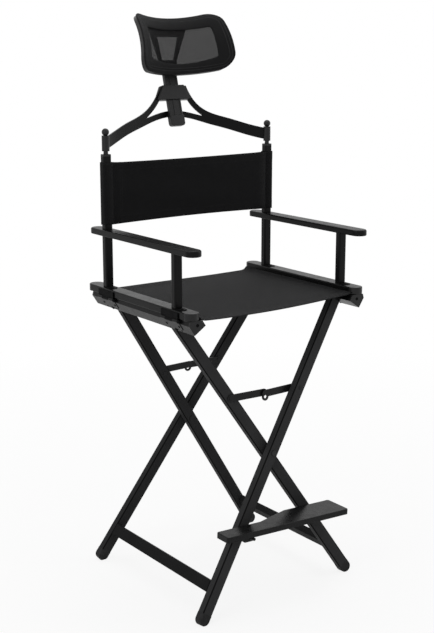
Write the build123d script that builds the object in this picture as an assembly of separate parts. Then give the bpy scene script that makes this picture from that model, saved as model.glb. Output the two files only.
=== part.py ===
from build123d import *
import math
import os

os.makedirs("parts", exist_ok=True)

# Tall folding chair for make-up work: two side frames carried on a pair of crossed
# leg frames, a fabric seat and back, a hinged footrest and an adjustable headrest.
# +Z is up, the sitter faces -Y, -X is the side on the left in the front view.
# The origin lies on the floor, under the middle of the whole chair.

# Overall stance
seat_height = 770.0  # floor to the top of a seat rail
post_spacing_x = 504.0  # centre to centre across the seat
rail_length = 456.0  # seat rail, over its round ends
foot_spacing_x = 479.88  # centre to centre of the feet, across the seat
seat_centre_y = 7.506  # middle of the post spacing, from the origin
overrun = 400.0  # how far cutting bodies run past the work
running_gap = 0.05  # radial play of a pin in its bore
face_gap = 0.3  # play between faces that slide past each other

# Seat rails
rail_width = 38.0
rail_thickness = 18.0
rail_wall = 2.0
rail_corner = 3.0
rail_edge_fillet = 2.0
slot_height = 3.2  # slot in the inner side that the seat cloth enters
slot_above_bottom = 5.0

# Posts
post_inset = 75.0  # post centre in from each end of the rail
post_width = 22.0
post_depth = 18.0
post_wall = 1.6
post_corner = 4.0
post_above_seat = 332.0  # rail top to the top of the cap on a back post
post_cap_thickness = 5.0
post_cap_fillet = 1.5
post_cap_plug = 12.0

# Armrests
arm_above_seat = 146.0  # rail top to arm top
arm_thickness = 15.0
arm_width = 40.0
arm_front_overhang = 10.0  # past the front end of the rail
arm_back_inset = 14.0  # short of the back end of the rail
arm_top_fillet = 4.0
arm_bottom_fillet = 2.0

# Hinges under the seat rails
hinge_out = 1.0  # hinge axis outside the rail's outer face
hinge_drop = 5.0  # hinge axis below the rail
knuckle_radius = 4.5
hinge_pin_radius = 2.2
hinge_pin_head_radius = 3.4
hinge_pin_head = 1.2
hinge_length = 69.0
hinge_middle = 30.0  # length of the bracket's own knuckle
hinge_leaf = 3.0
hinge_leaf_top_gap = 3.0
hinge_front_inset = 75.4  # hinge centre in from the front end of the rail
hinge_back_inset = 97.0

# Crossed leg frames
leg_splay = 5.7  # degrees, seen in the plane of a frame
leg_width = 30.0
leg_thickness = 22.0
leg_wall = 1.6
leg_corner = 3.5
leg_gap = 8.0  # between the inner leg and the outer leg beside it
inner_leg_inset = 66.0  # inner leg axis at the crossing, in from the end of the rail
fold_max = 30.0

# Top bars, which the legs meet under the seat rails
bar_side = 35.0  # outer face, along the leg
bar_width = 37.0  # lower face, across the leg
bar_wall = 2.2
bar_nose = 7.0  # corner taken off beside the hinge axis
bar_seat_gap = 0.2
bar_front_inset = 5.0  # bar end in from the end of the rail
bar_back_inset = 24.0
bar_cap_thickness = 3.0

# Feet and bottom rails
foot_flat = 1.6  # how much of the round foot the flat takes off
foot_length = 14.0  # straight part of the foot above its round end
foot_plug = 18.0
foot_edge = 2.0
plug_gap = 0.1
bottom_rail_height = 30.0  # along the leg
bottom_rail_depth = 20.0
bottom_rail_wall = 1.5
bottom_rail_corner = 3.0
bottom_rail_axis_z = 77.0

# Crossing pivots
cross_pin_radius = 4.0
cross_spacer_radius = 9.0
cross_head_radius = 7.0
cross_head = 2.0
cross_pin_end_gap = 0.8

# Lock bars between the legs of each cross
link_pin_r = 178.0  # pivot above the crossing, along the leg
link_width = 18.0
link_thickness = 2.5
link_rivet_radius = 3.0
link_head_radius = 5.0
link_head = 1.0
link_mid_rivet_radius = 4.0
link_mid_proud = 0.5
ring_outer = 10.0
ring_inner = 4.5
ring_drop = 8.0

# Footrest
tread_top = 222.0  # over the axle
tread_thickness = 14.0
tread_left = 195.0  # reach to the left of the middle of the chair
tread_right = 187.0
tread_depth = 48.0  # at the narrow end
tread_slope = 2.3  # degrees, free end down
tread_skin = 4.0
tread_skirt = 3.0
tread_corner = 6.0
tread_edge = 2.0
tread_step_start = -62.0
tread_step_run = 100.0
tread_rib = 3.0
tread_rib_count = 7
tread_pin_radius = 4.0
tread_pin_reach = 49.0
tread_axle_drop = 7.6  # middle of the axle below the tread's underside
tread_boss_half = 12.0
tread_boss_depth = 30.0
tread_boss_wall = 2.4
tread_pin_head = 1.5
tread_pin_head_radius = 6.5
tread_spacer_radius = 9.0
tread_setback_gap = 4.5  # outer leg's face to the tread
tread_inner_gap = 2.3  # inner leg's face to the tread
tread_raise_max = 35.0
peg_radius = 4.0
peg_length = 24.0
peg_clearance = 0.3

# Back cloth
back_bottom_above_seat = 158.0
back_height = 154.0
back_cloth = 1.6
back_bow = 6.0
sleeve_play = 0.4

# Seat cloth
seat_cloth = 2.0
seat_sag = 12.0
seat_bead_radius = 2.8
seat_bead_in = 6.0
seat_front_inset = 10.0

# Headrest bracket
sleeve_radius = 9.5
sleeve_length = 37.8
sleeve_neck_radius = 5.8
sleeve_neck = 7.6
stud_radius = 4.0
stud_depth = 25.0
stud_rest_gap = 0.2
ball_radius = 9.2
ball_rise = 8.3  # ball centre above the top of the sleeve
bracket_thickness = 5.0
bracket_bow = 78.0
bracket_low = 11.0  # lower edge of the arms at the posts, above the post top
bracket_rise = 145.0  # from there to the top of the strands
lift_max = 120.0
# outline of one half: shares of half the post spacing and of the rise
arm_upper_shares = [(0.155, 1.0), (0.22, 0.80), (0.306, 0.637), (0.44, 0.503), (0.62, 0.405), (0.81, 0.296), (1.0, 0.205)]
arm_lower_shares = [(1.0, 0.0), (0.80, 0.098), (0.61, 0.209), (0.43, 0.298), (0.26, 0.388), (0.12, 0.44), (0.0, 0.455)]
window_low_shares = [(0.0, 0.56), (0.12, 0.545), (0.25, 0.495), (0.355, 0.45)]
window_high_shares = [(0.355, 0.45), (0.262, 0.577), (0.19, 0.715), (0.14, 0.87), (0.112, 1.0)]

# Height slider
stem_tilt = 15.0  # degrees, leaning back
housing_z = 138.0  # housing centre above the post top
housing_y = 79.8  # behind the back posts
housing_top_width = 66.0
housing_bottom_width = 108.0
housing_height = 38.0
housing_depth = 22.0
housing_fillet = 2.5
stem_width = 40.0
stem_thickness = 12.0
stem_corner = 2.5
stem_play = 0.1
stem_bottom = 83.0  # below the housing centre
stem_groove_width = 9.0
stem_groove_depth = 1.2
stem_groove_spacing = 20.0
stem_groove_end = 12.0
hub_shoulder_gap = 6.0
end_cap_width = 43.0
end_cap_height = 28.0
end_cap_front = 3.0
end_cap_corner = 8.0
end_cap_wall = 4.0
end_cap_fillet = 2.0
knob_radius = 12.0
knob_length = 13.0
knob_lobes = 8
knob_lobe_radius = 2.4
knob_edge = 2.0
knob_screw_radius = 3.0
height_up = 30.0
height_down = 20.0

# Headrest pad
tilt_axis_rise = 77.0  # above the housing centre, along the stem
hub_radius = 9.0
hub_half = 17.0
tilt_pin_radius = 3.0
tilt_pin_head_radius = 5.0
tilt_pin_head = 1.5
ear_thickness = 6.0
ear_gap = 0.3
pad_lean = 22.2  # degrees, leaning back
pad_low_width = 283.6
pad_top_width = 255.8
pad_height = 152.1
pad_low_corner = 27.7
pad_top_corner = 35.9
pad_top_dip = 4.5  # how far the top edge dips at its middle
pad_plan_radius = 198.5  # round the sitter's head
pad_bulge_radius = 180.6  # forward bulge, seen from the side
pad_setback = 54.7  # front of the pad ahead of the stem
pad_rise = 116.1  # pad centre above the housing centre, along the stem
pad_prism_half = 100.0
pad_flange = 8.0
pad_flange_thickness = 3.0
pad_rim_front = 1.5
pad_rim_back = 12.0
pad_rim_width = 5.0
mesh_thickness = 1.2
mesh_inset = 0.3
strut_width = 21.0
strut_thickness = 8.0
strut_head_half = 54.0
strut_bar_depth = 26.0  # crossbar between the struts, near their heads
strut_bar_drop = 15.0
tilt_forward = 15.0
tilt_back = 25.0

# Derived places
splay = math.radians(leg_splay)
half_x = post_spacing_x / 2
half_y = rail_length / 2 - post_inset
post_top = seat_height + post_above_seat
arm_top = seat_height + arm_above_seat
arm_front_reach = rail_length / 2 + arm_front_overhang
arm_back_reach = rail_length / 2 - arm_back_inset
back_bottom = seat_height + back_bottom_above_seat
hinge_front_y = rail_length / 2 - hinge_front_inset
hinge_back_y = rail_length / 2 - hinge_back_inset
inner_leg_y = rail_length / 2 - inner_leg_inset
bar_front_reach = rail_length / 2 - bar_front_inset
bar_back_reach = rail_length / 2 - bar_back_inset
rail_bottom = seat_height - rail_thickness
rail_outer_x = half_x + rail_width / 2
hinge_x = -(rail_outer_x + hinge_out)
hinge_z = rail_bottom - hinge_drop
axis_inset = bar_width - leg_width / 2
foot_centre_z = leg_width / 2 - foot_flat
leg_run_x = foot_spacing_x / 2 - hinge_x
leg_run_z = hinge_z - foot_centre_z
leg_run = math.hypot(leg_run_x, leg_run_z)
tilt = math.acos(axis_inset / leg_run) - math.atan2(leg_run_z, leg_run_x)  # legs from the vertical
along = Vector(-math.sin(tilt), 0, math.cos(tilt))  # up the legs that lean to -X
across = Vector(math.cos(tilt), 0, math.sin(tilt))
hinge_point = Vector(hinge_x, 0, hinge_z)
hinge_to_cross = (-hinge_x - axis_inset * math.cos(tilt)) / math.sin(tilt)
cross_z = hinge_z + axis_inset * math.sin(tilt) - hinge_to_cross * math.cos(tilt)
outer_leg_y = inner_leg_y + leg_thickness + leg_gap
slot_z = rail_bottom + slot_above_bottom
post_back_y = seat_centre_y + half_y
post_front_y = seat_centre_y - half_y


def block(x0, x1, y0, y1, z0, z1):
    centre = Pos((x0 + x1) / 2, (y0 + y1) / 2, (z0 + z1) / 2)
    return centre * Box(x1 - x0, y1 - y0, z1 - z0)


def rod(start, direction, radius, length):
    plane = Plane(origin=start, z_dir=direction)
    return extrude(plane * Circle(radius), amount=length)


def other_side(shape):
    return mirror(shape, about=Plane.YZ)


def save(shape, name):
    export_step(shape, "parts/" + name + ".step")


def leg_direction(lean):
    """Unit vector up a leg that leans to -X; lean is +1 for a front leg, -1 for a rear leg."""
    flat = along * math.cos(splay)
    return Vector(flat.X, lean * math.sin(splay), flat.Z)


def leg_plane(origin, lean):
    return Plane(origin=origin, x_dir=across, z_dir=leg_direction(lean))


def leg_origin(lean, offset):
    return Vector(0, seat_centre_y - lean * offset, cross_z)


foot_r = (cross_z - foot_centre_z) / (math.cos(tilt) * math.cos(splay))
bar_low_corner = hinge_point - along * bar_side
bar_low_inner = bar_low_corner + across * bar_width
bar_top_z = rail_bottom - bar_seat_gap
bar_inner_top = bar_low_inner + along * ((bar_top_z - bar_low_inner.Z) / math.cos(tilt))
bar_nose_top = Vector(hinge_x + bar_nose, 0, bar_top_z)
bar_nose_low = hinge_point - along * bar_nose

# Seat rail, left: hollow section with a slot for the cloth along its inner side
rail_straight = rail_length - rail_width
rail_end_front = seat_centre_y - rail_straight / 2
rail_end_back = seat_centre_y + rail_straight / 2
rail_plane = Plane(
    origin=(-half_x, rail_end_back, seat_height - rail_thickness / 2),
    x_dir=(1, 0, 0),
    z_dir=(0, -1, 0),
)
rail_hollow_width = rail_width - 2 * rail_wall
rail_hollow_height = rail_thickness - 2 * rail_wall
rail_section = RectangleRounded(rail_width, rail_thickness, rail_corner)
rail_section -= Rectangle(rail_hollow_width, rail_hollow_height)
rail_left = extrude(rail_plane * rail_section, amount=rail_straight)
slot = block(
    -half_x + rail_hollow_width / 2 - rail_wall,
    -half_x + rail_width / 2 + rail_wall,
    rail_end_front - overrun,
    rail_end_back + overrun,
    slot_z - slot_height / 2,
    slot_z + slot_height / 2,
)
rail_left -= slot


def rail_cap(end_y, outward):
    centre = Pos(-half_x, end_y, seat_height - rail_thickness)
    cap = centre * extrude(Circle(rail_width / 2), amount=rail_thickness)
    low_y = end_y if outward > 0 else end_y - rail_width
    keep = block(-half_x - rail_width, -half_x + rail_width, low_y, low_y + rail_width, 0, seat_height + rail_width)
    cap = cap & keep
    rims = cap.edges().filter_by(GeomType.CIRCLE)
    return fillet(rims, rail_edge_fillet)


rail_caps_left = Compound(children=[rail_cap(rail_end_front, -1), rail_cap(rail_end_back, 1)])

# Posts: rounded tubes that stand on the rail
arm_bottom = arm_top - arm_thickness
post_section = RectangleRounded(post_width, post_depth, post_corner)
post_hollow = RectangleRounded(post_width - 2 * post_wall, post_depth - 2 * post_wall, post_corner - post_wall)
post_tube = post_section - post_hollow
post_front_left = Pos(-half_x, post_front_y, seat_height) * extrude(post_tube, amount=arm_bottom - seat_height)
back_post_length = post_top - post_cap_thickness - seat_height
post_back_left = Pos(-half_x, post_back_y, seat_height) * extrude(post_tube, amount=back_post_length)

# Cap on a back post, with the hole that takes the bracket's stud
cap_top = Pos(-half_x, post_back_y, post_top - post_cap_thickness) * extrude(post_section, amount=post_cap_thickness)
cap_top = fillet(cap_top.faces().sort_by(Axis.Z)[-1].edges(), post_cap_fillet)
cap_plug_section = RectangleRounded(
    post_width - 2 * post_wall - 2 * plug_gap,
    post_depth - 2 * post_wall - 2 * plug_gap,
    post_corner - post_wall,
)
cap_plug = Pos(-half_x, post_back_y, post_top - post_cap_thickness - post_cap_plug) * extrude(
    cap_plug_section, amount=post_cap_plug
)
stud_bore = rod((-half_x, post_back_y, 0), (0, 0, 1), stud_radius + running_gap, post_top + overrun)
post_cap_left = cap_top + cap_plug - stud_bore

# Armrest: a flat bar with round ends; the back post runs up through it
arm_length = arm_front_reach + arm_back_reach
arm_centre_y = seat_centre_y + (arm_back_reach - arm_front_reach) / 2
arm_plan = SlotOverall(arm_length, arm_width, rotation=90)
armrest_left = Pos(-half_x, arm_centre_y, arm_bottom) * extrude(arm_plan, amount=arm_thickness)
armrest_left = fillet(armrest_left.faces().sort_by(Axis.Z)[-1].edges(), arm_top_fillet)
armrest_left = fillet(armrest_left.faces().sort_by(Axis.Z)[0].edges(), arm_bottom_fillet)
armrest_left -= Pos(-half_x, post_back_y, 0) * extrude(post_section, amount=arm_top + overrun)

# Hinge brackets on the rail's outer face, their pins, and what they leave for the bars
hinge_ys = [seat_centre_y - hinge_front_y, seat_centre_y + hinge_back_y]


def hinge_bracket(centre_y):
    leaf = block(
        -rail_outer_x - hinge_leaf,
        -rail_outer_x,
        centre_y - hinge_length / 2,
        centre_y + hinge_length / 2,
        rail_bottom + face_gap,
        seat_height - hinge_leaf_top_gap,
    )
    start = (hinge_x, centre_y - hinge_middle / 2, hinge_z)
    barrel = rod(start, (0, 1, 0), knuckle_radius, hinge_middle)
    tongue = block(
        -rail_outer_x - hinge_leaf,
        -rail_outer_x,
        centre_y - hinge_middle / 2,
        centre_y + hinge_middle / 2,
        hinge_z,
        rail_bottom + rail_wall,
    )
    bore = rod((hinge_x, centre_y - overrun, hinge_z), (0, 1, 0), hinge_pin_radius, 2 * overrun)
    return leaf + barrel + tongue - bore


def hinge_pin(centre_y):
    half = hinge_length / 2 + face_gap
    shank = rod((hinge_x, centre_y - half, hinge_z), (0, 1, 0), hinge_pin_radius, 2 * half)
    front = rod((hinge_x, centre_y - half, hinge_z), (0, -1, 0), hinge_pin_head_radius, hinge_pin_head)
    back = rod((hinge_x, centre_y + half, hinge_z), (0, 1, 0), hinge_pin_head_radius, hinge_pin_head)
    return shank + front + back


hinge_brackets_left = Compound(children=[hinge_bracket(y) for y in hinge_ys])
hinge_pins_left = Compound(children=[hinge_pin(y) for y in hinge_ys])

# Top bar, left: closed section whose flat top bears under the rail when the chair is open
bar_points = [
    (bar_low_corner.X, bar_low_corner.Z),
    (bar_low_inner.X, bar_low_inner.Z),
    (bar_inner_top.X, bar_inner_top.Z),
    (bar_nose_top.X, bar_nose_top.Z),
    (bar_nose_low.X, bar_nose_low.Z),
]
bar_front_y = seat_centre_y - bar_front_reach
bar_length = bar_front_reach + bar_back_reach
bar_plane = Plane(origin=(0, bar_front_y, 0), x_dir=(1, 0, 0), z_dir=(0, -1, 0))
bar_outline = make_face(Polyline(*bar_points, close=True))
bar_hollow = offset(bar_outline, amount=-bar_wall, kind=Kind.INTERSECTION)
top_bar_left = extrude(bar_plane * (bar_outline - bar_hollow), amount=-bar_length)
bar_cap_face = bar_plane * bar_outline
front_cap = extrude(bar_cap_face, amount=bar_cap_thickness)
back_cap = Pos(0, bar_length, 0) * extrude(bar_cap_face, amount=-bar_cap_thickness)
bar_caps_left = Compound(children=[front_cap, back_cap])


def bar_knuckle(start_y, end_y):
    ear_points = [(hinge_x, hinge_z), (bar_nose_top.X, bar_nose_top.Z), (bar_nose_low.X, bar_nose_low.Z)]
    plane = Plane(origin=(0, start_y, 0), x_dir=(1, 0, 0), z_dir=(0, -1, 0))
    ear = extrude(plane * make_face(Polyline(*ear_points, close=True)), amount=start_y - end_y)
    barrel = rod((hinge_x, start_y, hinge_z), (0, 1, 0), knuckle_radius, end_y - start_y)
    return ear + barrel


for centre_y in hinge_ys:
    low = centre_y - hinge_length / 2
    high = centre_y + hinge_length / 2
    mid_low = centre_y - hinge_middle / 2 - face_gap
    mid_high = centre_y + hinge_middle / 2 + face_gap
    top_bar_left += bar_knuckle(low, mid_low)
    top_bar_left += bar_knuckle(mid_high, high)
top_bar_left -= rod(
    (hinge_x, bar_front_y - overrun, hinge_z), (0, 1, 0), hinge_pin_radius + running_gap, bar_length + 2 * overrun
)

# Legs: rounded tubes cut off square under the top bar, with a round plastic foot
leg_section = RectangleRounded(leg_width, leg_thickness, leg_corner)
leg_bore = RectangleRounded(leg_width - 2 * leg_wall, leg_thickness - 2 * leg_wall, leg_corner - leg_wall)
bar_cut = Plane(origin=bar_low_corner, z_dir=along)


def leg_tube(lean, offset):
    plane = leg_plane(leg_origin(lean, offset), lean)
    start = foot_r - foot_length
    tube = extrude(plane.offset(-start) * (leg_section - leg_bore), amount=start + hinge_to_cross + bar_side)
    return split(tube, bisect_by=bar_cut, keep=Keep.BOTTOM)


def leg_foot(lean, offset):
    """Foot with a half-round end, a plug up inside the tube, and a flat on the floor."""
    plane = leg_plane(leg_origin(lean, offset), lean)
    face_plane = Plane(
        origin=plane.origin - plane.z_dir * foot_r - plane.y_dir * (leg_thickness / 2),
        x_dir=plane.x_dir,
        z_dir=-plane.y_dir,
    )
    half_round = Circle(leg_width / 2) & Pos(0, -leg_width / 2) * Rectangle(leg_width, leg_width)
    outline = half_round + Pos(0, foot_length / 2) * Rectangle(leg_width, foot_length)
    body = extrude(face_plane * outline, amount=-leg_thickness)
    body = fillet(body.edges().filter_by(GeomType.CIRCLE), foot_edge)
    plug_section = RectangleRounded(
        leg_width - 2 * leg_wall - 2 * plug_gap,
        leg_thickness - 2 * leg_wall - 2 * plug_gap,
        leg_corner - leg_wall,
    )
    body += extrude(plane.offset(-foot_r + foot_length) * plug_section, amount=foot_plug)
    floor = block(-overrun, overrun, -overrun, overrun, -overrun, 0)
    return body - floor


def leg_point(lean, offset, distance):
    return leg_origin(lean, offset) + leg_direction(lean) * distance


leg_front_inner = leg_tube(1, inner_leg_y)
leg_rear_inner = leg_tube(-1, inner_leg_y)
leg_front_outer = leg_tube(1, outer_leg_y)
leg_rear_outer = leg_tube(-1, outer_leg_y)

# Pivots where the legs cross: a pin fixed in the inner leg turns in the outer leg


def cross_hole(lean, radius):
    start = (0, seat_centre_y, cross_z)
    return rod(start, (0, -lean, 0), radius, 2 * outer_leg_y)


def cross_pin(lean):
    inner_y = inner_leg_y - leg_thickness / 2
    outer_y = outer_leg_y + leg_thickness / 2
    shank = rod(
        (0, seat_centre_y - lean * (inner_y - cross_head), cross_z),
        (0, -lean, 0),
        cross_pin_radius,
        outer_y - inner_y - cross_pin_end_gap + cross_head,
    )
    head = rod(
        (0, seat_centre_y - lean * (inner_y - cross_head), cross_z),
        (0, -lean, 0),
        cross_head_radius,
        cross_head + leg_wall,
    )
    wobble = cross_spacer_radius * math.tan(splay)
    spacer_end = outer_leg_y - leg_thickness / 2 - wobble - face_gap
    spacer = rod(
        (0, seat_centre_y - lean * inner_leg_y, cross_z),
        (0, -lean, 0),
        cross_spacer_radius,
        spacer_end - inner_leg_y,
    )
    plane = leg_plane(leg_origin(lean, inner_leg_y), lean)
    solid_leg = extrude(plane.offset(-overrun) * leg_section, amount=2 * overrun)
    return shank + ((head + spacer) - solid_leg)


def cross_cap(lean):
    """Low round cap over the pin's end on the outer leg's outer face."""
    plane = leg_plane(leg_origin(lean, outer_leg_y), lean)
    outward = plane.y_dir * -lean
    start = plane.origin + outward * (leg_thickness / 2)
    cap = rod(start, outward, cross_head_radius, cross_head)
    return fillet(cap.edges().sort_by(Axis((0, 0, 0), tuple(outward)))[-1], cross_head / 2)


cross_pin_front = cross_pin(1)
cross_pin_rear = cross_pin(-1)
leg_front_inner -= cross_hole(1, cross_pin_radius)
leg_rear_inner -= cross_hole(-1, cross_pin_radius)
leg_front_outer -= cross_hole(1, cross_pin_radius + running_gap)
leg_rear_outer -= cross_hole(-1, cross_pin_radius + running_gap)
cross_caps = Compound(children=[cross_cap(1), cross_cap(-1)])

# Lock bars: each is two flat links that meet in the middle and rise when the chair folds


def link_base(lean, offset, facing):
    """Plane of a link's near face on its leg. x runs level to the middle, z away from the leg."""
    leg = leg_plane(leg_origin(lean, offset), lean)
    pivot = leg_point(lean, offset, link_pin_r)
    outward = leg.y_dir * facing
    level = Vector(leg.y_dir.Y, -leg.y_dir.X, 0).normalized()
    start = pivot + outward * (leg_thickness / 2 + face_gap)
    return Plane(origin=start, x_dir=level, z_dir=outward)


def link_reach(lean, offset, facing):
    base = link_base(lean, offset, facing)
    return -base.origin.X / base.x_dir.X


def link_plate(lean, offset, facing, with_ring):
    base = link_base(lean, offset, facing)
    reach = link_reach(lean, offset, facing)
    outline = Pos(reach / 2, 0) * SlotCenterToCenter(reach, link_width)
    hole_mid = Pos(reach, 0) * Circle(link_mid_rivet_radius)
    hole_pin = Circle(link_rivet_radius + running_gap)
    if with_ring:
        down = -1 if (base.y_dir.Z > 0) else 1
        outline += Pos(reach, down * ring_drop) * Circle(ring_outer)
        outline -= Pos(reach, down * ring_drop) * Circle(ring_inner)
    outline -= hole_pin
    outline -= hole_mid
    return extrude(base * outline, amount=link_thickness)


def link_rivet(lean, offset, facing):
    """Rivet through the leg, with a head on the far side and one over the link."""
    base = link_base(lean, offset, facing)
    back_run = leg_thickness + face_gap
    shank_start = base.origin - base.z_dir * back_run
    shank = rod(shank_start, base.z_dir, link_rivet_radius, back_run + link_thickness + running_gap)
    far_head = rod(shank_start, -base.z_dir, link_head_radius, link_head)
    near_start = base.origin + base.z_dir * (link_thickness + running_gap)
    near_head = rod(near_start, base.z_dir, link_head_radius, link_head)
    return shank + far_head + near_head


def rivet_hole(lean, offset, facing):
    base = link_base(lean, offset, facing)
    start = base.origin - base.z_dir * (leg_thickness + leg_width)
    return rod(start, base.z_dir, link_rivet_radius, leg_thickness + 2 * leg_width)


# the inner legs carry their links on the side of the gap, and so do the outer legs
inner_front = (1, inner_leg_y, -1)
inner_rear = (-1, inner_leg_y, 1)
outer_front = (1, outer_leg_y, 1)
outer_rear = (-1, outer_leg_y, -1)
lock_link_front_inner = link_plate(*inner_front, False)
lock_link_rear_inner = link_plate(*inner_rear, False)
lock_link_front_outer = link_plate(*outer_front, True)
lock_link_rear_outer = link_plate(*outer_rear, True)
leg_front_inner -= rivet_hole(*inner_front)
leg_rear_inner -= rivet_hole(*inner_rear)
leg_front_outer -= rivet_hole(*outer_front)
leg_rear_outer -= rivet_hole(*outer_rear)
rivets_inner = Compound(children=[link_rivet(*inner_front), link_rivet(*inner_rear)])
rivets_outer = Compound(children=[link_rivet(*outer_front), link_rivet(*outer_rear)])


def mid_rivet(lean, offset, facing, proud):
    """Flush middle rivet of one link; the inner leg's link has the one that stands proud."""
    base = link_base(lean, offset, facing)
    centre = base.origin + base.x_dir * link_reach(lean, offset, facing)
    return rod(centre, base.z_dir, link_mid_rivet_radius, link_thickness + proud)


lock_rivet_front_inner = mid_rivet(*inner_front, link_mid_proud)
lock_rivet_rear_inner = mid_rivet(*inner_rear, link_mid_proud)
lock_rivet_front_outer = mid_rivet(*outer_front, 0)
lock_rivet_rear_outer = mid_rivet(*outer_rear, 0)

# Bottom rails join the feet of each frame, flush with the legs' upper outer faces
bottom_rail_r = (cross_z - bottom_rail_axis_z) / math.cos(tilt)
bottom_rail_centre = Vector(0, 0, cross_z) - along * bottom_rail_r
bottom_rail_centre += across * ((leg_width - bottom_rail_depth) / 2)


def bottom_rail(offset):
    section = RectangleRounded(bottom_rail_depth, bottom_rail_height, bottom_rail_corner)
    section -= RectangleRounded(
        bottom_rail_depth - 2 * bottom_rail_wall,
        bottom_rail_height - 2 * bottom_rail_wall,
        bottom_rail_corner - bottom_rail_wall,
    )
    start = Vector(bottom_rail_centre.X, seat_centre_y - overrun, bottom_rail_centre.Z)
    plane = Plane(origin=start, x_dir=across, z_dir=(0, 1, 0))
    rail = extrude(plane * section, amount=2 * overrun)
    for lean in (1, -1):
        leg = leg_plane(leg_origin(lean, offset), lean)
        inward = leg.y_dir * lean
        cut = Plane(origin=leg.origin + inward * (leg_thickness / 2), z_dir=inward)
        rail = split(rail, bisect_by=cut, keep=Keep.TOP)
    return rail


bottom_rail_inner = bottom_rail(inner_leg_y)
bottom_rail_outer = bottom_rail(outer_leg_y)

# Footrest, hinged on the front outer leg and resting on a peg in the front inner leg.
# The outer legs are drawn leaning to -X like the inner ones and mirrored as they are saved,
# so the footrest's own pieces are drawn where they lie and use the mirrored places.
tread_bottom = tread_top - tread_thickness
axle_rise = (leg_thickness / 2 + (tread_setback_gap + tread_pin_reach) / 2) * math.tan(splay) * math.cos(tilt)
axle_r = (cross_z - tread_bottom + tread_axle_drop + axle_rise) / (math.cos(tilt) * math.cos(splay))
pin_drawn = leg_point(1, outer_leg_y, -axle_r)
pin_drawn_axis = -leg_plane(leg_origin(1, outer_leg_y), 1).y_dir
pin_place = Vector(-pin_drawn.X, pin_drawn.Y, pin_drawn.Z)
pin_axis = Vector(-pin_drawn_axis.X, pin_drawn_axis.Y, pin_drawn_axis.Z)
slope = math.radians(tread_slope)
leg_half_y = leg_thickness / 2 / math.cos(splay)
peg_height = tread_bottom - (peg_clearance + peg_radius) / math.cos(slope)
peg_height -= (cross_z * math.tan(tilt) - pin_place.X) * math.tan(slope)
peg_z = peg_height / (1 - math.tan(tilt) * math.tan(slope))
peg_r = (cross_z - peg_z) / (math.cos(tilt) * math.cos(splay))
peg_place = leg_point(1, inner_leg_y, -peg_r)
tread_back_left = pin_place.Y - leg_half_y - tread_setback_gap
tread_back_right = peg_place.Y - leg_half_y - tread_inner_gap
tread_front = tread_back_left - tread_depth
tread_step_end = tread_step_start + tread_step_run
tread_points = [
    (-tread_left, tread_front),
    (tread_right, tread_front),
    (tread_right, tread_back_right),
    (tread_step_end, tread_back_right),
    (tread_step_start, tread_back_left),
    (-tread_left, tread_back_left),
]
tread_plan = make_face(Polyline(*tread_points, close=True))
tread_plan = fillet(tread_plan.vertices(), tread_corner)
tread_hollow = offset(tread_plan, amount=-tread_skirt)
tread_slab = Pos(0, 0, tread_bottom) * extrude(tread_plan, amount=tread_thickness)
tread_slab = fillet(tread_slab.faces().sort_by(Axis.Z)[-1].edges(), tread_edge)
tread_level = tread_slab - Pos(0, 0, tread_bottom) * extrude(tread_hollow, amount=tread_thickness - tread_skin)
rib_pitch = (tread_left + tread_right) / (tread_rib_count + 1)
for i in range(tread_rib_count):
    rib_x = -tread_left + rib_pitch * (i + 1)
    rib = block(
        rib_x - tread_rib / 2,
        rib_x + tread_rib / 2,
        tread_front + tread_skirt / 2,
        tread_back_right,
        tread_bottom + tread_skirt,
        tread_top - tread_skin / 2,
    )
    tread_level += rib & tread_slab
boss = block(
    pin_place.X - tread_boss_half,
    pin_place.X + tread_boss_half,
    tread_back_left - tread_boss_depth,
    tread_back_left,
    pin_place.Z - tread_pin_radius - tread_boss_wall,
    tread_top - tread_skin / 2,
)
tread_level += boss
rest_pad = block(
    peg_place.X - tread_boss_half,
    peg_place.X + tread_boss_half,
    tread_back_right - tread_boss_depth,
    tread_back_right - tread_skirt / 2,
    tread_bottom,
    tread_top - tread_skin / 2,
)
tread_level += rest_pad
pin_face = pin_place + pin_axis * (leg_thickness / 2)
pin_length = tread_setback_gap + tread_pin_reach
bore_length = pin_length + 2 * face_gap
tread_level -= rod(tuple(pin_face), tuple(pin_axis), tread_pin_radius + running_gap, bore_length)
footrest_tread = tread_level.rotate(Axis(tuple(pin_place), tuple(pin_axis)), -tread_slope)

# Axle of the footrest, fixed in the leg, with the collar that sets the tread off
pin_start = pin_place - pin_axis * (leg_thickness / 2 + tread_pin_head)
collar_length = tread_setback_gap - tread_spacer_radius * math.tan(splay) - face_gap
axle = rod(tuple(pin_start), tuple(pin_axis), tread_pin_radius, leg_thickness + tread_pin_head + pin_length)
axle = fillet(axle.edges().sort_by(Axis.Y)[0], tread_pin_radius / 2)
footrest_pin = axle + rod(tuple(pin_start), tuple(pin_axis), tread_pin_head_radius, tread_pin_head)
footrest_pin += rod(tuple(pin_face), tuple(pin_axis), tread_spacer_radius, collar_length)
pin_hole = rod(
    tuple(pin_drawn - pin_drawn_axis * leg_thickness),
    tuple(pin_drawn_axis),
    tread_pin_radius,
    2 * leg_thickness,
)
leg_front_outer -= pin_hole

# Peg in the inner leg that the free end of the footrest lies on
peg_start = (peg_place.X, peg_place.Y, peg_z)
footrest_peg = rod(peg_start, (0, -1, 0), peg_radius, leg_half_y + peg_length)
footrest_peg = fillet(footrest_peg.edges().sort_by(Axis.Y)[0], peg_radius / 2)
leg_front_inner -= rod(peg_start, (0, -1, 0), peg_radius, leg_half_y + peg_length)

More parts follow.
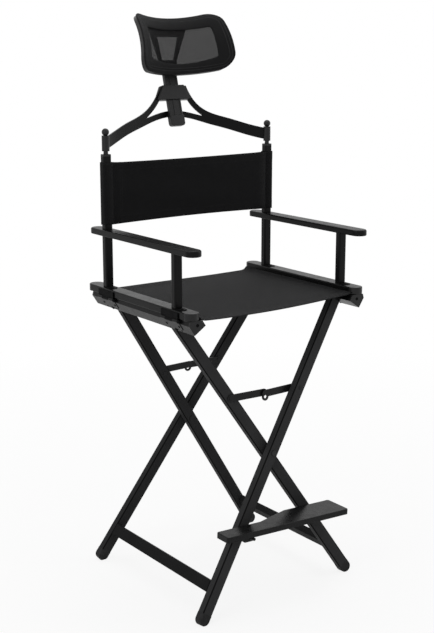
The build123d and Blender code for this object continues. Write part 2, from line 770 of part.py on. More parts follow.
# Back cloth: a sleeve round each back post and a panel stretched between them
sleeve_width = post_width + 2 * sleeve_play + 2 * back_cloth
sleeve_depth = post_depth + 2 * sleeve_play + 2 * back_cloth
sleeve_section = RectangleRounded(sleeve_width, sleeve_depth, post_corner + back_cloth)
sleeve_section -= RectangleRounded(post_width + 2 * sleeve_play, post_depth + 2 * sleeve_play, post_corner)
panel_half = half_x - sleeve_width / 2 + post_corner + back_cloth
panel_front = -sleeve_depth / 2
panel_outer = ThreePointArc((-panel_half, panel_front), (0, panel_front + back_bow), (panel_half, panel_front))
panel_inner = ThreePointArc(
    (panel_half, panel_front + back_cloth),
    (0, panel_front + back_bow + back_cloth),
    (-panel_half, panel_front + back_cloth),
)
panel_ends = [
    Line((panel_half, panel_front), (panel_half, panel_front + back_cloth)),
    Line((-panel_half, panel_front + back_cloth), (-panel_half, panel_front)),
]
back_section = make_face([panel_outer, panel_ends[0], panel_inner, panel_ends[1]])
back_section += Pos(-half_x, 0) * sleeve_section
back_section += Pos(half_x, 0) * sleeve_section
back_canvas = Pos(0, post_back_y, back_bottom) * extrude(back_section, amount=back_height)

# Seat cloth: hangs between the rails, with a bead along each edge inside the rail
seat_half = half_x - rail_width / 2 + rail_wall
seat_panel_half_y = rail_length / 2 - seat_front_inset
cloth_low = -seat_cloth / 2
cloth_high = seat_cloth / 2
seat_under = ThreePointArc((-seat_half, cloth_low), (0, cloth_low - seat_sag), (seat_half, cloth_low))
seat_over = ThreePointArc((seat_half, cloth_high), (0, cloth_high - seat_sag), (-seat_half, cloth_high))
seat_ends = [
    Line((seat_half, cloth_low), (seat_half, cloth_high)),
    Line((-seat_half, cloth_high), (-seat_half, cloth_low)),
]
seat_section = make_face([seat_under, seat_ends[0], seat_over, seat_ends[1]])
seat_plane = Plane(origin=(0, seat_centre_y, slot_z), x_dir=(1, 0, 0), z_dir=(0, -1, 0))
seat_canvas = extrude(seat_plane * seat_section, amount=seat_panel_half_y, both=True)
bead_x = seat_half + seat_bead_in
for side in (-1, 1):
    tuck_middle = (seat_half + bead_x) / 2
    tuck_width = seat_bead_in + seat_cloth
    tuck = seat_plane * Pos(side * tuck_middle, 0) * Rectangle(tuck_width, seat_cloth)
    bead = seat_plane * Pos(side * bead_x, 0) * Circle(seat_bead_radius)
    half_straight = rail_straight / 2
    seat_canvas += extrude(tuck, amount=half_straight, both=True)
    seat_canvas += extrude(bead, amount=half_straight, both=True)
cap_notch = block(
    -half_x + rail_hollow_width / 2 - rail_wall,
    -half_x + rail_width,
    seat_centre_y - seat_panel_half_y - face_gap,
    seat_centre_y + seat_panel_half_y + face_gap,
    slot_z - slot_height / 2,
    slot_z + slot_height / 2,
)
rail_caps_left = rail_caps_left - cap_notch

# Headrest bracket: a flat wishbone of plate, bowed back in plan from post to post
bracket_radius = (half_x**2 + bracket_bow**2) / (2 * bracket_bow)
bracket_bend_y = post_back_y + bracket_bow - bracket_radius
bracket_low_z = post_top + bracket_low


def share_points(shares):
    return [(x * half_x, bracket_low_z + z * bracket_rise) for x, z in shares]


bracket_plane = Plane(origin=(0, post_back_y, 0), x_dir=(1, 0, 0), z_dir=(0, -1, 0))
centre_top = (0, bracket_rise + bracket_low_z)
outline_top = Spline(*share_points(arm_upper_shares))
outline_low = Spline(*share_points(arm_lower_shares))
outline_half = make_face(
    [
        Line(centre_top, outline_top @ 0),
        outline_top,
        Line(outline_top @ 1, outline_low @ 0),
        outline_low,
        Line(outline_low @ 1, centre_top),
    ]
)
window_low = Spline(*share_points(window_low_shares))
window_high = Spline(*share_points(window_high_shares))
window_top = (0, bracket_low_z + bracket_rise + rail_width)
window_corner = (window_high_shares[-1][0] * half_x, bracket_low_z + bracket_rise + rail_width)
window_half = make_face(
    [
        window_low,
        window_high,
        Line(window_high @ 1, window_corner),
        Line(window_corner, window_top),
        Line(window_top, window_low @ 0),
    ]
)
bracket_half = outline_half - window_half
bracket_prism = extrude(bracket_plane * bracket_half, amount=overrun, both=True)
bracket_prism += other_side(bracket_prism)
band_plane = Pos(0, bracket_bend_y, bracket_low_z)
band_outer = Circle(bracket_radius + bracket_thickness / 2)
band = band_plane * extrude(band_outer - Circle(bracket_radius - bracket_thickness / 2), amount=bracket_rise)
post_sleeve_z = post_top + sleeve_neck
sleeve_tube = Pos(-half_x, post_back_y, post_sleeve_z) * extrude(Circle(sleeve_radius), amount=sleeve_length)
bracket_plate = (bracket_prism & band) - sleeve_tube - other_side(sleeve_tube)
outer_side = block(half_x, half_x + overrun, -overrun, overrun, 0, post_top + overrun)
bracket_plate = bracket_plate - outer_side - other_side(outer_side)

# Sleeves at the ends of the bracket; the stud under the left one goes into the post's cap
sleeve_left = sleeve_tube + rod(
    (-half_x, post_back_y, post_top), (0, 0, 1), sleeve_neck_radius, sleeve_neck
)
stud_left = rod((-half_x, post_back_y, post_top), (0, 0, -1), stud_radius, stud_depth)
sleeve_left += fillet(stud_left.edges().sort_by(Axis.Z)[0], stud_radius / 2)
sleeve_right = other_side(sleeve_tube) + rod(
    (half_x, post_back_y, post_top + stud_rest_gap), (0, 0, 1), sleeve_neck_radius, sleeve_neck - stud_rest_gap
)
ball_z = post_sleeve_z + sleeve_length + ball_rise
ball = Pos(-half_x, post_back_y, ball_z) * Sphere(ball_radius)
ball_seat = block(-overrun, overrun, -overrun, overrun, 0, post_sleeve_z + sleeve_length)
ball = ball - ball_seat
headrest_balls = Compound(children=[ball, other_side(ball)])

# Housing that clamps the slider: a trapezoid block, leaning back with the stem
housing_centre = Vector(0, post_back_y + housing_y, post_top + housing_z)
stem_lean = math.radians(stem_tilt)
stem_axis = Vector(0, math.sin(stem_lean), math.cos(stem_lean))
stem_frame = Plane(origin=housing_centre, x_dir=(1, 0, 0), z_dir=stem_axis)
front_frame = Plane(origin=housing_centre, x_dir=(1, 0, 0), z_dir=-stem_frame.y_dir)
housing_points = [
    (-housing_bottom_width / 2, -housing_height / 2),
    (housing_bottom_width / 2, -housing_height / 2),
    (housing_top_width / 2, housing_height / 2),
    (-housing_top_width / 2, housing_height / 2),
]
housing_face = make_face(Polyline(*housing_points, close=True))
headrest_housing = extrude(front_frame * housing_face, amount=housing_depth / 2, both=True)
headrest_housing = fillet(headrest_housing.edges(), housing_fillet)
passage = RectangleRounded(stem_width + 2 * stem_play, stem_thickness + 2 * stem_play, stem_corner)
headrest_housing -= extrude(stem_frame * passage, amount=housing_height, both=True)
headrest_housing -= bracket_plate

# Clamping knob behind the housing, with its screw
knob_start = housing_centre + stem_frame.y_dir * (housing_depth / 2)
back_frame = Plane(origin=knob_start, x_dir=(1, 0, 0), z_dir=stem_frame.y_dir)
knob_body = extrude(back_frame * Circle(knob_radius), amount=knob_length)
knob_body = fillet(knob_body.edges().group_by(SortBy.LENGTH)[-1], knob_edge)
lobes = [back_frame * loc * Circle(knob_lobe_radius) for loc in PolarLocations(knob_radius, knob_lobes)]
for lobe in lobes:
    knob_body -= extrude(lobe, amount=knob_length)
knob_screw_length = housing_depth / 2 - stem_thickness / 2 - stem_play - face_gap
knob_screw = extrude(back_frame * Circle(knob_screw_radius), amount=-knob_screw_length)
headrest_knob = knob_body + knob_screw
headrest_housing -= extrude(back_frame * Circle(knob_screw_radius), amount=-housing_depth / 2)

# Slider: flat bar through the housing, with a hub for the pad at its top
stem_shoulder = tilt_axis_rise - hub_radius - hub_shoulder_gap
stem_section = RectangleRounded(stem_width, stem_thickness, stem_corner)
stem_bar = extrude(stem_frame.offset(-stem_bottom) * stem_section, amount=stem_bottom + stem_shoulder)
stem_neck = extrude(stem_frame.offset(stem_shoulder) * Rectangle(2 * hub_half, stem_thickness), amount=tilt_axis_rise - stem_shoulder)
hub_centre = housing_centre + stem_axis * tilt_axis_rise
hub_start = hub_centre - Vector(hub_half, 0, 0)
stem_bar += stem_neck
stem_bar += rod(tuple(hub_start), (1, 0, 0), hub_radius, 2 * hub_half)
stem_bar -= rod(tuple(hub_start - Vector(hub_half, 0, 0)), (1, 0, 0), tilt_pin_radius + running_gap, 4 * hub_half)
groove_depth_y = stem_thickness / 2 - stem_groove_depth / 2
groove_run = stem_bottom + stem_shoulder - 2 * stem_groove_end
for side in (-1, 1):
    groove_section = Pos(side * stem_groove_spacing / 2, -groove_depth_y) * Rectangle(
        stem_groove_width, stem_groove_depth
    )
    stem_bar -= extrude(stem_frame.offset(-stem_bottom + stem_groove_end) * groove_section, amount=groove_run)
headrest_stem = stem_bar

# End cap on the foot of the slider
cap_depth = stem_thickness + end_cap_front
cap_outline = Rectangle(end_cap_width, end_cap_height)
cap_corners = cap_outline.vertices().group_by(Axis.Y)[0]
cap_outline = fillet(cap_corners, end_cap_corner)
cap_centre_z = -stem_bottom - end_cap_wall + end_cap_height / 2
cap_front_frame = Plane(
    origin=housing_centre + stem_axis * cap_centre_z + stem_frame.y_dir * (stem_thickness / 2),
    x_dir=(1, 0, 0),
    z_dir=-stem_frame.y_dir,
)
stem_end_cap = extrude(cap_front_frame * cap_outline, amount=cap_depth)
front_edges = stem_end_cap.faces().sort_by(Axis(housing_centre, -stem_frame.y_dir))[-1].edges()
stem_end_cap = fillet(front_edges, end_cap_fillet)
stem_end_cap -= extrude(stem_frame.offset(-stem_bottom) * stem_section, amount=stem_bottom)

# Pad: a ring frame curved both ways, the mesh in its front, and two struts to the hub
pad_tilt = math.radians(pad_lean)
pad_up = Vector(0, math.sin(pad_tilt), math.cos(pad_tilt))
pad_back = Vector(0, math.cos(pad_tilt), -math.sin(pad_tilt))
pad_centre = housing_centre + stem_axis * pad_rise - stem_frame.y_dir * pad_setback
pad_front = Plane(origin=pad_centre, x_dir=(1, 0, 0), z_dir=-pad_back)
pad_bend = Plane(origin=pad_centre - pad_back * pad_plan_radius, x_dir=(1, 0, 0), z_dir=pad_up)
pad_ring_radius = pad_plan_radius + pad_bulge_radius


def pad_outline(inset):
    top_left = (-pad_top_width / 2, pad_height / 2)
    top_right = (pad_top_width / 2, pad_height / 2)
    low_left = (-pad_low_width / 2, -pad_height / 2)
    low_right = (pad_low_width / 2, -pad_height / 2)
    top = ThreePointArc(top_right, (0, pad_height / 2 - pad_top_dip), top_left)
    face = make_face([top, Line(top_left, low_left), Line(low_left, low_right), Line(low_right, top_right)])
    face = fillet(face.vertices().group_by(Axis.Y)[-1], pad_top_corner)
    face = fillet(face.vertices().group_by(Axis.Y)[0], pad_low_corner)
    if inset:
        face = offset(face, amount=-inset)
    return face


def pad_prism(inset):
    return extrude(pad_front * pad_outline(inset), amount=pad_prism_half, both=True)


def pad_shell(front, back):
    """Wall between two distances behind the pad's front surface."""
    outer = Torus(pad_ring_radius, pad_bulge_radius - front)
    return pad_bend * (outer - Torus(pad_ring_radius, pad_bulge_radius - back))


rim_inner = pad_prism(pad_rim_width)
rim = pad_prism(0) - rim_inner
flange = rim_inner - pad_prism(pad_rim_width + pad_flange)
pad_frame = rim & pad_shell(-pad_rim_front, pad_rim_back)
pad_frame += flange & pad_shell(mesh_thickness, mesh_thickness + pad_flange_thickness)
pad_mesh = pad_prism(pad_rim_width + mesh_inset) & pad_shell(0, mesh_thickness)

# Struts: a V of two tapered arms in a plane from the hub up to the back of the rim, with a
# crossbar let in between them
strut_head_up = pad_height / 2 - pad_top_dip - pad_rim_width / 2
strut_bulge = pad_bulge_radius - pad_rim_back
strut_ring = pad_ring_radius - math.sqrt(strut_bulge**2 - strut_head_up**2)
strut_head_back = math.sqrt(strut_ring**2 - strut_head_half**2) - pad_plan_radius
strut_head = pad_centre + pad_up * strut_head_up + pad_back * strut_head_back
strut_run = strut_head - hub_centre
strut_length = strut_run.length
strut_up = strut_run.normalized()
strut_normal = Vector(0, strut_up.Z, -strut_up.Y)
strut_plane = Plane(origin=hub_centre, x_dir=(1, 0, 0), z_dir=-strut_normal)
ear_inner = hub_half + ear_gap
ear_outer = ear_inner + ear_thickness
strut_quad = [
    (ear_inner, 0),
    (ear_outer, 0),
    (strut_head_half + strut_width / 2, strut_length),
    (strut_head_half - strut_width / 2, strut_length),
]
strut = extrude(strut_plane * make_face(Polyline(*strut_quad, close=True)), amount=strut_thickness / 2, both=True)
ear_start = hub_centre + Vector(ear_inner, 0, 0)
strut += rod(tuple(ear_start), (1, 0, 0), hub_radius, ear_thickness)
strut = strut & (pad_bend * Torus(pad_ring_radius, strut_bulge))
strut -= rod(tuple(hub_centre), (1, 0, 0), tilt_pin_radius, pad_low_width)
strut -= rod(tuple(hub_centre + Vector(ear_outer, 0, 0)), (1, 0, 0), tilt_pin_head_radius, pad_low_width)
bar_high = strut_length - strut_bar_drop
bar_low = bar_high - strut_bar_depth
strut_spread = (strut_head_half - strut_width / 2 - ear_inner) / strut_length
bar_quad = [
    (-ear_inner - strut_spread * bar_low, bar_low),
    (ear_inner + strut_spread * bar_low, bar_low),
    (ear_inner + strut_spread * bar_high, bar_high),
    (-ear_inner - strut_spread * bar_high, bar_high),
]
strut_bar = extrude(strut_plane * make_face(Polyline(*bar_quad, close=True)), amount=strut_thickness / 2, both=True)
strut_bar = strut_bar & (pad_bend * Torus(pad_ring_radius, strut_bulge))
pad_struts = Compound(children=[strut, other_side(strut), strut_bar])

# Pin of the tilt hinge
tilt_pin = rod((-ear_outer, hub_centre.Y, hub_centre.Z), (1, 0, 0), tilt_pin_radius, 2 * ear_outer)
tilt_pin += rod((-ear_outer, hub_centre.Y, hub_centre.Z), (-1, 0, 0), tilt_pin_head_radius, tilt_pin_head)
tilt_pin += rod((ear_outer, hub_centre.Y, hub_centre.Z), (1, 0, 0), tilt_pin_head_radius, tilt_pin_head)

# Side frames
side_pieces = {
    "rail": rail_left,
    "rail_caps": rail_caps_left,
    "post_front": post_front_left,
    "post_back": post_back_left,
    "post_cap": post_cap_left,
    "armrest": armrest_left,
    "hinge_brackets": hinge_brackets_left,
    "hinge_pins": hinge_pins_left,
}
for name, piece in side_pieces.items():
    save(piece, name + "_left")
    save(other_side(piece), name + "_right")

# Cloth
save(seat_canvas, "seat_canvas")
save(back_canvas, "back_canvas")

# Inner leg frame, which hangs from the left side
save(top_bar_left, "top_bar_left")
save(bar_caps_left, "bar_caps_left")
save(leg_front_inner, "leg_front_inner")
save(leg_rear_inner, "leg_rear_inner")
save(bottom_rail_inner, "bottom_rail_right")
save(Compound(children=[leg_foot(1, inner_leg_y), leg_foot(-1, inner_leg_y)]), "feet_inner")
save(Compound(children=[cross_pin_front, cross_pin_rear]), "cross_pins")
save(rivets_inner, "link_rivets_inner")
save(footrest_peg, "footrest_peg")

# Outer leg frame, which hangs from the right side
save(other_side(top_bar_left), "top_bar_right")
save(other_side(bar_caps_left), "bar_caps_right")
save(other_side(leg_front_outer), "leg_front_outer")
save(other_side(leg_rear_outer), "leg_rear_outer")
save(other_side(bottom_rail_outer), "bottom_rail_left")
outer_feet = Compound(children=[leg_foot(1, outer_leg_y), leg_foot(-1, outer_leg_y)])
save(other_side(outer_feet), "feet_outer")
save(other_side(cross_caps), "cross_caps")
save(other_side(rivets_outer), "link_rivets_outer")
save(footrest_pin, "footrest_pin")

# Lock bars
save(lock_link_front_inner, "lock_link_front_inner")
save(lock_link_rear_inner, "lock_link_rear_inner")
save(other_side(lock_link_front_outer), "lock_link_front_outer")
save(other_side(lock_link_rear_outer), "lock_link_rear_outer")
save(lock_rivet_front_inner, "lock_rivet_front_inner")
save(lock_rivet_rear_inner, "lock_rivet_rear_inner")
save(other_side(lock_rivet_front_outer), "lock_rivet_front_outer")
save(other_side(lock_rivet_rear_outer), "lock_rivet_rear_outer")

# Footrest
save(footrest_tread, "footrest_tread")

# Headrest
save(bracket_plate, "headrest_bracket")
save(Compound(children=[sleeve_left, sleeve_right]), "headrest_sleeves")
save(headrest_balls, "headrest_balls")
save(headrest_housing, "headrest_housing")
save(headrest_knob, "headrest_knob")
save(headrest_stem, "headrest_stem")
save(stem_end_cap, "stem_end_cap")
save(pad_frame, "pad_frame")
save(pad_mesh, "pad_mesh")
save(pad_struts, "pad_struts")
save(tilt_pin, "tilt_pin")

# Places of the joints, for the record
print("hinge", round(hinge_x, 3), round(hinge_z, 3))
print("cross", round(cross_z, 3))
print("inner link pivots", link_base(*inner_front).origin, link_base(*inner_rear).origin)
print("inner link axes", link_base(*inner_front).z_dir, link_base(*inner_rear).z_dir)
print("outer link pivots, drawn", link_base(*outer_front).origin, link_base(*outer_rear).origin)
print("outer link axes, drawn", link_base(*outer_front).z_dir, link_base(*outer_rear).z_dir)
print("footrest pin", pin_place, pin_axis)
print("tread", tread_front, tread_back_left, tread_back_right, peg_place)
print("feet", foot_r, tilt, outer_leg_y)
print("housing", housing_centre, stem_axis)
print("hub", hub_centre)
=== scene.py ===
import math
from functools import partial

import bmesh
import bpy
from mathutils import Matrix, Vector


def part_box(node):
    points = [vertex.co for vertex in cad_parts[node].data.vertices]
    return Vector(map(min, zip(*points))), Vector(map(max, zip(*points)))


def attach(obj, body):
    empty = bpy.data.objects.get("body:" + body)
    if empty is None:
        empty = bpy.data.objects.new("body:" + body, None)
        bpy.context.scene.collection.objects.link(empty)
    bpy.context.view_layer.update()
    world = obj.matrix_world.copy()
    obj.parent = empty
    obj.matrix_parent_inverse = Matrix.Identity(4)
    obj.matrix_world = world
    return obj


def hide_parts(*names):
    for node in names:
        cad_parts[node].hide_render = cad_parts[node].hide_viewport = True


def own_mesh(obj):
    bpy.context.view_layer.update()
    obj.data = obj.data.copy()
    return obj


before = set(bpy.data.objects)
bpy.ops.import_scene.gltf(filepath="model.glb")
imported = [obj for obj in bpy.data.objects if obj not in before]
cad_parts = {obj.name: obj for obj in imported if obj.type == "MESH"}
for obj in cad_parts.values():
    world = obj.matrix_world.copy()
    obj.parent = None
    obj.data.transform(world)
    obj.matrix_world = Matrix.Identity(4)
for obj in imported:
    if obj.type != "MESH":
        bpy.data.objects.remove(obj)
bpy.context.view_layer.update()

# Studio: a white floor under a plain pale room, with a wide lamp over the chair and one on
# each side. The camera stands where the photograph was taken, as high as the headrest.
floor_half = 12.0
floor_grey = (0.93, 0.93, 0.93, 1)
white = (1, 1, 1, 1)
# how much white covers the chair's shadow near it, rising to all of it far off
shadow_near = 0.7
shadow_far = 2.4
shadow_white = 0.86
bpy.ops.mesh.primitive_plane_add(size=2 * floor_half, location=(0, 0, 0))
studio_floor = bpy.context.object
studio_floor.name = "studio_floor"


def fill_socket(tree, socket, value):
    """Types a number or a colour into a socket, or links another node's output to it."""
    if isinstance(value, (int, float, tuple)):
        socket.default_value = value
    else:
        tree.links.new(value, socket)


def math_node(tree, kind, *terms, clamp=False):
    node = tree.nodes.new("ShaderNodeMath")
    node.operation = kind
    node.use_clamp = clamp
    for socket, term in zip(node.inputs, terms):
        fill_socket(tree, socket, term)
    return node.outputs[0]


def span_node(tree, value, low, high, new_low=0.0, new_high=1.0):
    """Maps one range of values to another and holds the ends."""
    node = tree.nodes.new("ShaderNodeMapRange")
    node.clamp = True
    labels = ("Value", "From Min", "From Max", "To Min", "To Max")
    for label, amount in zip(labels, (value, low, high, new_low, new_high)):
        fill_socket(tree, node.inputs[label], amount)
    return node.outputs["Result"]


def background_rays(tree):
    """Share of rays that see the white background: camera, mirror and see-through rays."""
    seen = tree.nodes.new("ShaderNodeLightPath").outputs
    mirrored = math_node(tree, "MAXIMUM", seen["Is Glossy Ray"], seen["Is Transmission Ray"])
    return math_node(tree, "MAXIMUM", seen["Is Camera Ray"], mirrored)


def new_material(name, shader_values):
    """New material with its shader's own values, and its node tree and shader."""
    material = bpy.data.materials.new(name)
    material.use_nodes = True
    shader = material.node_tree.nodes["Principled BSDF"]
    for label, value in shader_values.items():
        shader.inputs[label].default_value = value
    return material, material.node_tree, shader


floor_paint, floor_tree, floor_shader = new_material(
    "studio_floor_paint", {"Base Color": floor_grey, "Roughness": 0.9, "Specular IOR Level": 0.1}
)
floor_white = floor_tree.nodes.new("ShaderNodeEmission")
floor_white.inputs["Color"].default_value = white
floor_place = floor_tree.nodes.new("ShaderNodeTexCoord").outputs["Object"]
floor_reach = floor_tree.nodes.new("ShaderNodeVectorMath")
floor_reach.operation = "LENGTH"
floor_tree.links.new(floor_place, floor_reach.inputs[0])
shadow_kept = span_node(
    floor_tree, floor_reach.outputs["Value"], shadow_near, shadow_far, shadow_white, 1.0
)
floor_share = math_node(floor_tree, "MULTIPLY", background_rays(floor_tree), shadow_kept)
floor_mix = floor_tree.nodes.new("ShaderNodeMixShader")
floor_tree.links.new(floor_share, floor_mix.inputs["Fac"])
floor_tree.links.new(floor_shader.outputs["BSDF"], floor_mix.inputs[1])
floor_tree.links.new(floor_white.outputs["Emission"], floor_mix.inputs[2])
floor_out = floor_tree.nodes["Material Output"]
floor_tree.links.new(floor_mix.outputs["Shader"], floor_out.inputs["Surface"])
studio_floor.data.materials.append(floor_paint)

room = bpy.data.worlds.new("studio_room")
bpy.context.scene.world = room
room.use_nodes = True
room_tree = room.node_tree
room_tree.nodes.clear()
room_out = room_tree.nodes.new("ShaderNodeOutputWorld")
room_mix = room_tree.nodes.new("ShaderNodeMixShader")
room_tree.links.new(background_rays(room_tree), room_mix.inputs["Fac"])
room_strength = 0.45
for mix_input, strength in ((1, room_strength), (2, 1.0)):
    room_shade = room_tree.nodes.new("ShaderNodeBackground")
    room_shade.inputs["Color"].default_value = white
    room_shade.inputs["Strength"].default_value = strength
    room_tree.links.new(room_shade.outputs[0], room_mix.inputs[mix_input])
room_tree.links.new(room_mix.outputs[0], room_out.inputs["Surface"])


def aimed_object(name, data, place, aim):
    """Lamp or camera that stands at a place and looks at another."""
    holder = bpy.data.objects.new(name, data)
    holder.location = place
    holder.rotation_mode = "QUATERNION"
    holder.rotation_quaternion = (Vector(aim) - Vector(place)).to_track_quat("-Z", "Y")
    bpy.context.collection.objects.link(holder)
    return holder


def studio_lamp(name, place, aim, width, height, power):
    lamp = bpy.data.lights.new(name, "AREA")
    lamp.shape = "RECTANGLE"
    lamp.size = width
    lamp.size_y = height
    lamp.energy = power
    aimed_object(name, lamp, place, aim)


chair_low_middle = (0, 0, 0.6)
chair_high_middle = (0, 0, 0.8)
studio_lamp("lamp_over", (0.4, 0.6, 4.2), chair_low_middle, 3.2, 3.2, 66)
studio_lamp("lamp_left", (-3.6, -1.0, 2.4), chair_high_middle, 1.6, 2.6, 34)
studio_lamp("lamp_right", (3.4, -1.8, 2.2), chair_high_middle, 1.6, 2.6, 22)

camera_data = bpy.data.cameras.new("photo_camera")
camera_data.sensor_width = 36.0
camera_data.lens = 69.5
camera_data.clip_end = 60.0
camera_place = (-1.8063, -2.4372, 1.3939)
camera_aim = (0.0, 0.0424, 0.6802)
bpy.context.scene.camera = aimed_object("photo_camera", camera_data, camera_place, camera_aim)
bpy.context.scene.view_settings.view_transform = "Standard"

# Coated tubes: rails, posts, top bars and the headrest's wishbone are aluminium with a baked
# gloss black coat, a little uneven like all such coats, and rubbed paler along their edges.


def grey(tone, blue_tone):
    """Near-black colour with its blue given apart."""
    return (tone, tone, blue_tone, 1)


def effect_group(name, inputs, outputs):
    """Empty shader node group with named inputs and outputs, each with its kind."""
    group = bpy.data.node_groups.new(name, "ShaderNodeTree")
    for way, sockets in (("INPUT", inputs), ("OUTPUT", outputs)):
        for label, kind in sockets.items():
            group.interface.new_socket(label, in_out=way, socket_type="NodeSocket" + kind)
    enter = group.nodes.new("NodeGroupInput").outputs
    leave = group.nodes.new("NodeGroupOutput").inputs
    return group, enter, leave


def noise_node(tree, vector, scale, detail, rough):
    """Cloudy value between 0 and 1 at a place."""
    node = tree.nodes.new("ShaderNodeTexNoise")
    node.inputs["Detail"].default_value = detail
    node.inputs["Roughness"].default_value = rough
    fill_socket(tree, node.inputs["Scale"], scale)
    tree.links.new(vector, node.inputs["Vector"])
    return node.outputs["Fac"]


def swing_node(tree, cloud, low=-1.0, high=1.0):
    """Stretches the middle of a cloudy value, where most of it lies, from low to high."""
    return span_node(tree, cloud, 0.3, 0.7, low, high)


def scaled_node(tree, vector, factor):
    node = tree.nodes.new("ShaderNodeVectorMath")
    node.operation = "SCALE"
    tree.links.new(vector, node.inputs[0])
    tree.links.new(factor, node.inputs["Scale"])
    return node.outputs["Vector"]


def bump_node(tree, height, distance, base=None):
    """Normal of a surface raised by height times distance, over a base normal if given."""
    node = tree.nodes.new("ShaderNodeBump")
    fill_socket(tree, node.inputs["Distance"], distance)
    tree.links.new(height, node.inputs["Height"])
    if base is not None:
        tree.links.new(base, node.inputs["Normal"])
    return node.outputs["Normal"]


def split_node(tree, vector):
    """X, Y and Z of a vector, by name."""
    node = tree.nodes.new("ShaderNodeSeparateXYZ")
    tree.links.new(vector, node.inputs[0])
    return node.outputs


def effect_node(tree, group, vector, values):
    """Puts a shared effect into a material, with the place it works at and its own values."""
    node = tree.nodes.new("ShaderNodeGroup")
    node.node_tree = group
    tree.links.new(vector, node.inputs["Vector"])
    for label, value in values.items():
        node.inputs[label].default_value = value
    return node.outputs


def mix_colour(tree, share, first, second):
    node = tree.nodes.new("ShaderNodeMix")
    node.data_type = "RGBA"
    for label, value in (("Factor", share), ("A", first), ("B", second)):
        fitting = [s for s in node.inputs if s.name == label and s.enabled]
        fill_socket(tree, fitting[0], value)
    return [s for s in node.outputs if s.enabled][0]


coat_group, coat_in, coat_out = effect_group(
    "uneven_surface",
    {
        "Vector": "Vector",
        "Color": "Color",
        "Worn Color": "Color",
        "Patch Scale": "Float",
        "Spread": "Float",
        "Roughness": "Float",
        "Roughness Spread": "Float",
        "Grain Scale": "Float",
        "Grain Height": "Float",
        "Edge Radius": "Float",
        "Edge Wear": "Float",
    },
    {"Color": "Color", "Roughness": "Float", "Normal": "Vector"},
)
coat_math = partial(math_node, coat_group)
coat_place = coat_in["Vector"]
patches = noise_node(coat_group, coat_place, coat_in["Patch Scale"], 4.0, 0.6)
smears = noise_node(coat_group, coat_place, 46.0, 5.0, 0.65)
grain = noise_node(coat_group, coat_place, coat_in["Grain Scale"], 2.0, 0.5)
soft_edge = coat_group.nodes.new("ShaderNodeBevel")
soft_edge.samples = 6
coat_group.links.new(coat_in["Edge Radius"], soft_edge.inputs["Radius"])
true_normal = coat_group.nodes.new("ShaderNodeNewGeometry").outputs["Normal"]
face_match = coat_group.nodes.new("ShaderNodeVectorMath")
face_match.operation = "DOT_PRODUCT"
coat_group.links.new(soft_edge.outputs["Normal"], face_match.inputs[0])
coat_group.links.new(true_normal, face_match.inputs[1])
# an edge is where the rounded normal leaves the true one, and wear breaks it into smears
edge_share = span_node(coat_group, face_match.outputs["Value"], 0.99, 0.86)
smear_share = span_node(coat_group, smears, 0.42, 0.66)
edge_broken = coat_math("MULTIPLY", edge_share, smear_share)
edge_amount = coat_math("MULTIPLY", edge_broken, coat_in["Edge Wear"])
patch_swing = swing_node(coat_group, patches)
patch_gain = coat_math("MULTIPLY_ADD", patch_swing, coat_in["Spread"], 1.0)
toned = scaled_node(coat_group, coat_in["Color"], patch_gain)
worn = mix_colour(coat_group, edge_amount, toned, coat_in["Worn Color"])
coat_group.links.new(worn, coat_out["Color"])
smear_swing = swing_node(coat_group, smears)
rough_spread = coat_in["Roughness Spread"]
rough_base = coat_math("MULTIPLY_ADD", smear_swing, rough_spread, coat_in["Roughness"])
worn_rise = 0.15
rough_worn = coat_math("MULTIPLY_ADD", edge_amount, worn_rise, rough_base, clamp=True)
coat_group.links.new(rough_worn, coat_out["Roughness"])
grain_height = coat_in["Grain Height"]
grain_normal = bump_node(coat_group, grain, grain_height, soft_edge.outputs["Normal"])
coat_group.links.new(grain_normal, coat_out["Normal"])


def coat_material(name, colour, worn, patches, roughness, grain, edges, shine, metallic=0.0):
    """Material with the shared uneven surface. In pairs: scale and spread of its patches,
    roughness and its spread, scale and height of its grain, radius and wear of its edges,
    and its refraction and mirror level."""
    material, tree, shader = new_material(
        name, {"IOR": shine[0], "Specular IOR Level": shine[1], "Metallic": metallic}
    )
    settings = {
        "Color": colour,
        "Worn Color": worn,
        "Patch Scale": patches[0],
        "Spread": patches[1],
        "Roughness": roughness[0],
        "Roughness Spread": roughness[1],
        "Grain Scale": grain[0],
        "Grain Height": grain[1],
        "Edge Radius": edges[0],
        "Edge Wear": edges[1],
    }
    place = tree.nodes.new("ShaderNodeTexCoord").outputs["Object"]
    surface = effect_node(tree, coat_group, place, settings)
    for label in ("Roughness", "Normal"):
        tree.links.new(surface[label], shader.inputs[label])
    tree.links.new(surface["Color"], shader.inputs["Base Color"])
    return material


def both_sides(*stems):
    """Names of pieces that the chair has on its left and on its right."""
    return [stem + "_" + side for stem in stems for side in ("left", "right")]


def dress(node_names, material):
    """Gives solid pieces a finish, one material over each whole piece."""
    for node_name in node_names:
        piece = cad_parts[node_name]
        piece.data.materials.clear()
        piece.data.materials.append(material)


tube_coat = coat_material(
    "tube_black_coat",
    colour=grey(0.0036, 0.0038),
    worn=grey(0.035, 0.036),
    patches=(9.0, 0.12),
    roughness=(0.3, 0.05),
    grain=(1100.0, 0.000012),
    edges=(0.0009, 0.35),
    shine=(1.5, 0.1),
)
dress(both_sides("rail", "post_front", "post_back", "top_bar"), tube_coat)
dress(["headrest_bracket"], tube_coat)

# Legs and bottom rails: the same tubes with a duller coat that mirrors little, and painted shade
# on their rounded edges. Their tones are painted light and shade: palest on the front legs, where
# more light falls on the front frame, darker on the rear legs and darkest on the low rails.
# painted shade on the tubes' rounded corners: its near-black colour and how much of it is laid on
corner_shade_black = 0.003
corner_shade_share = 0.9


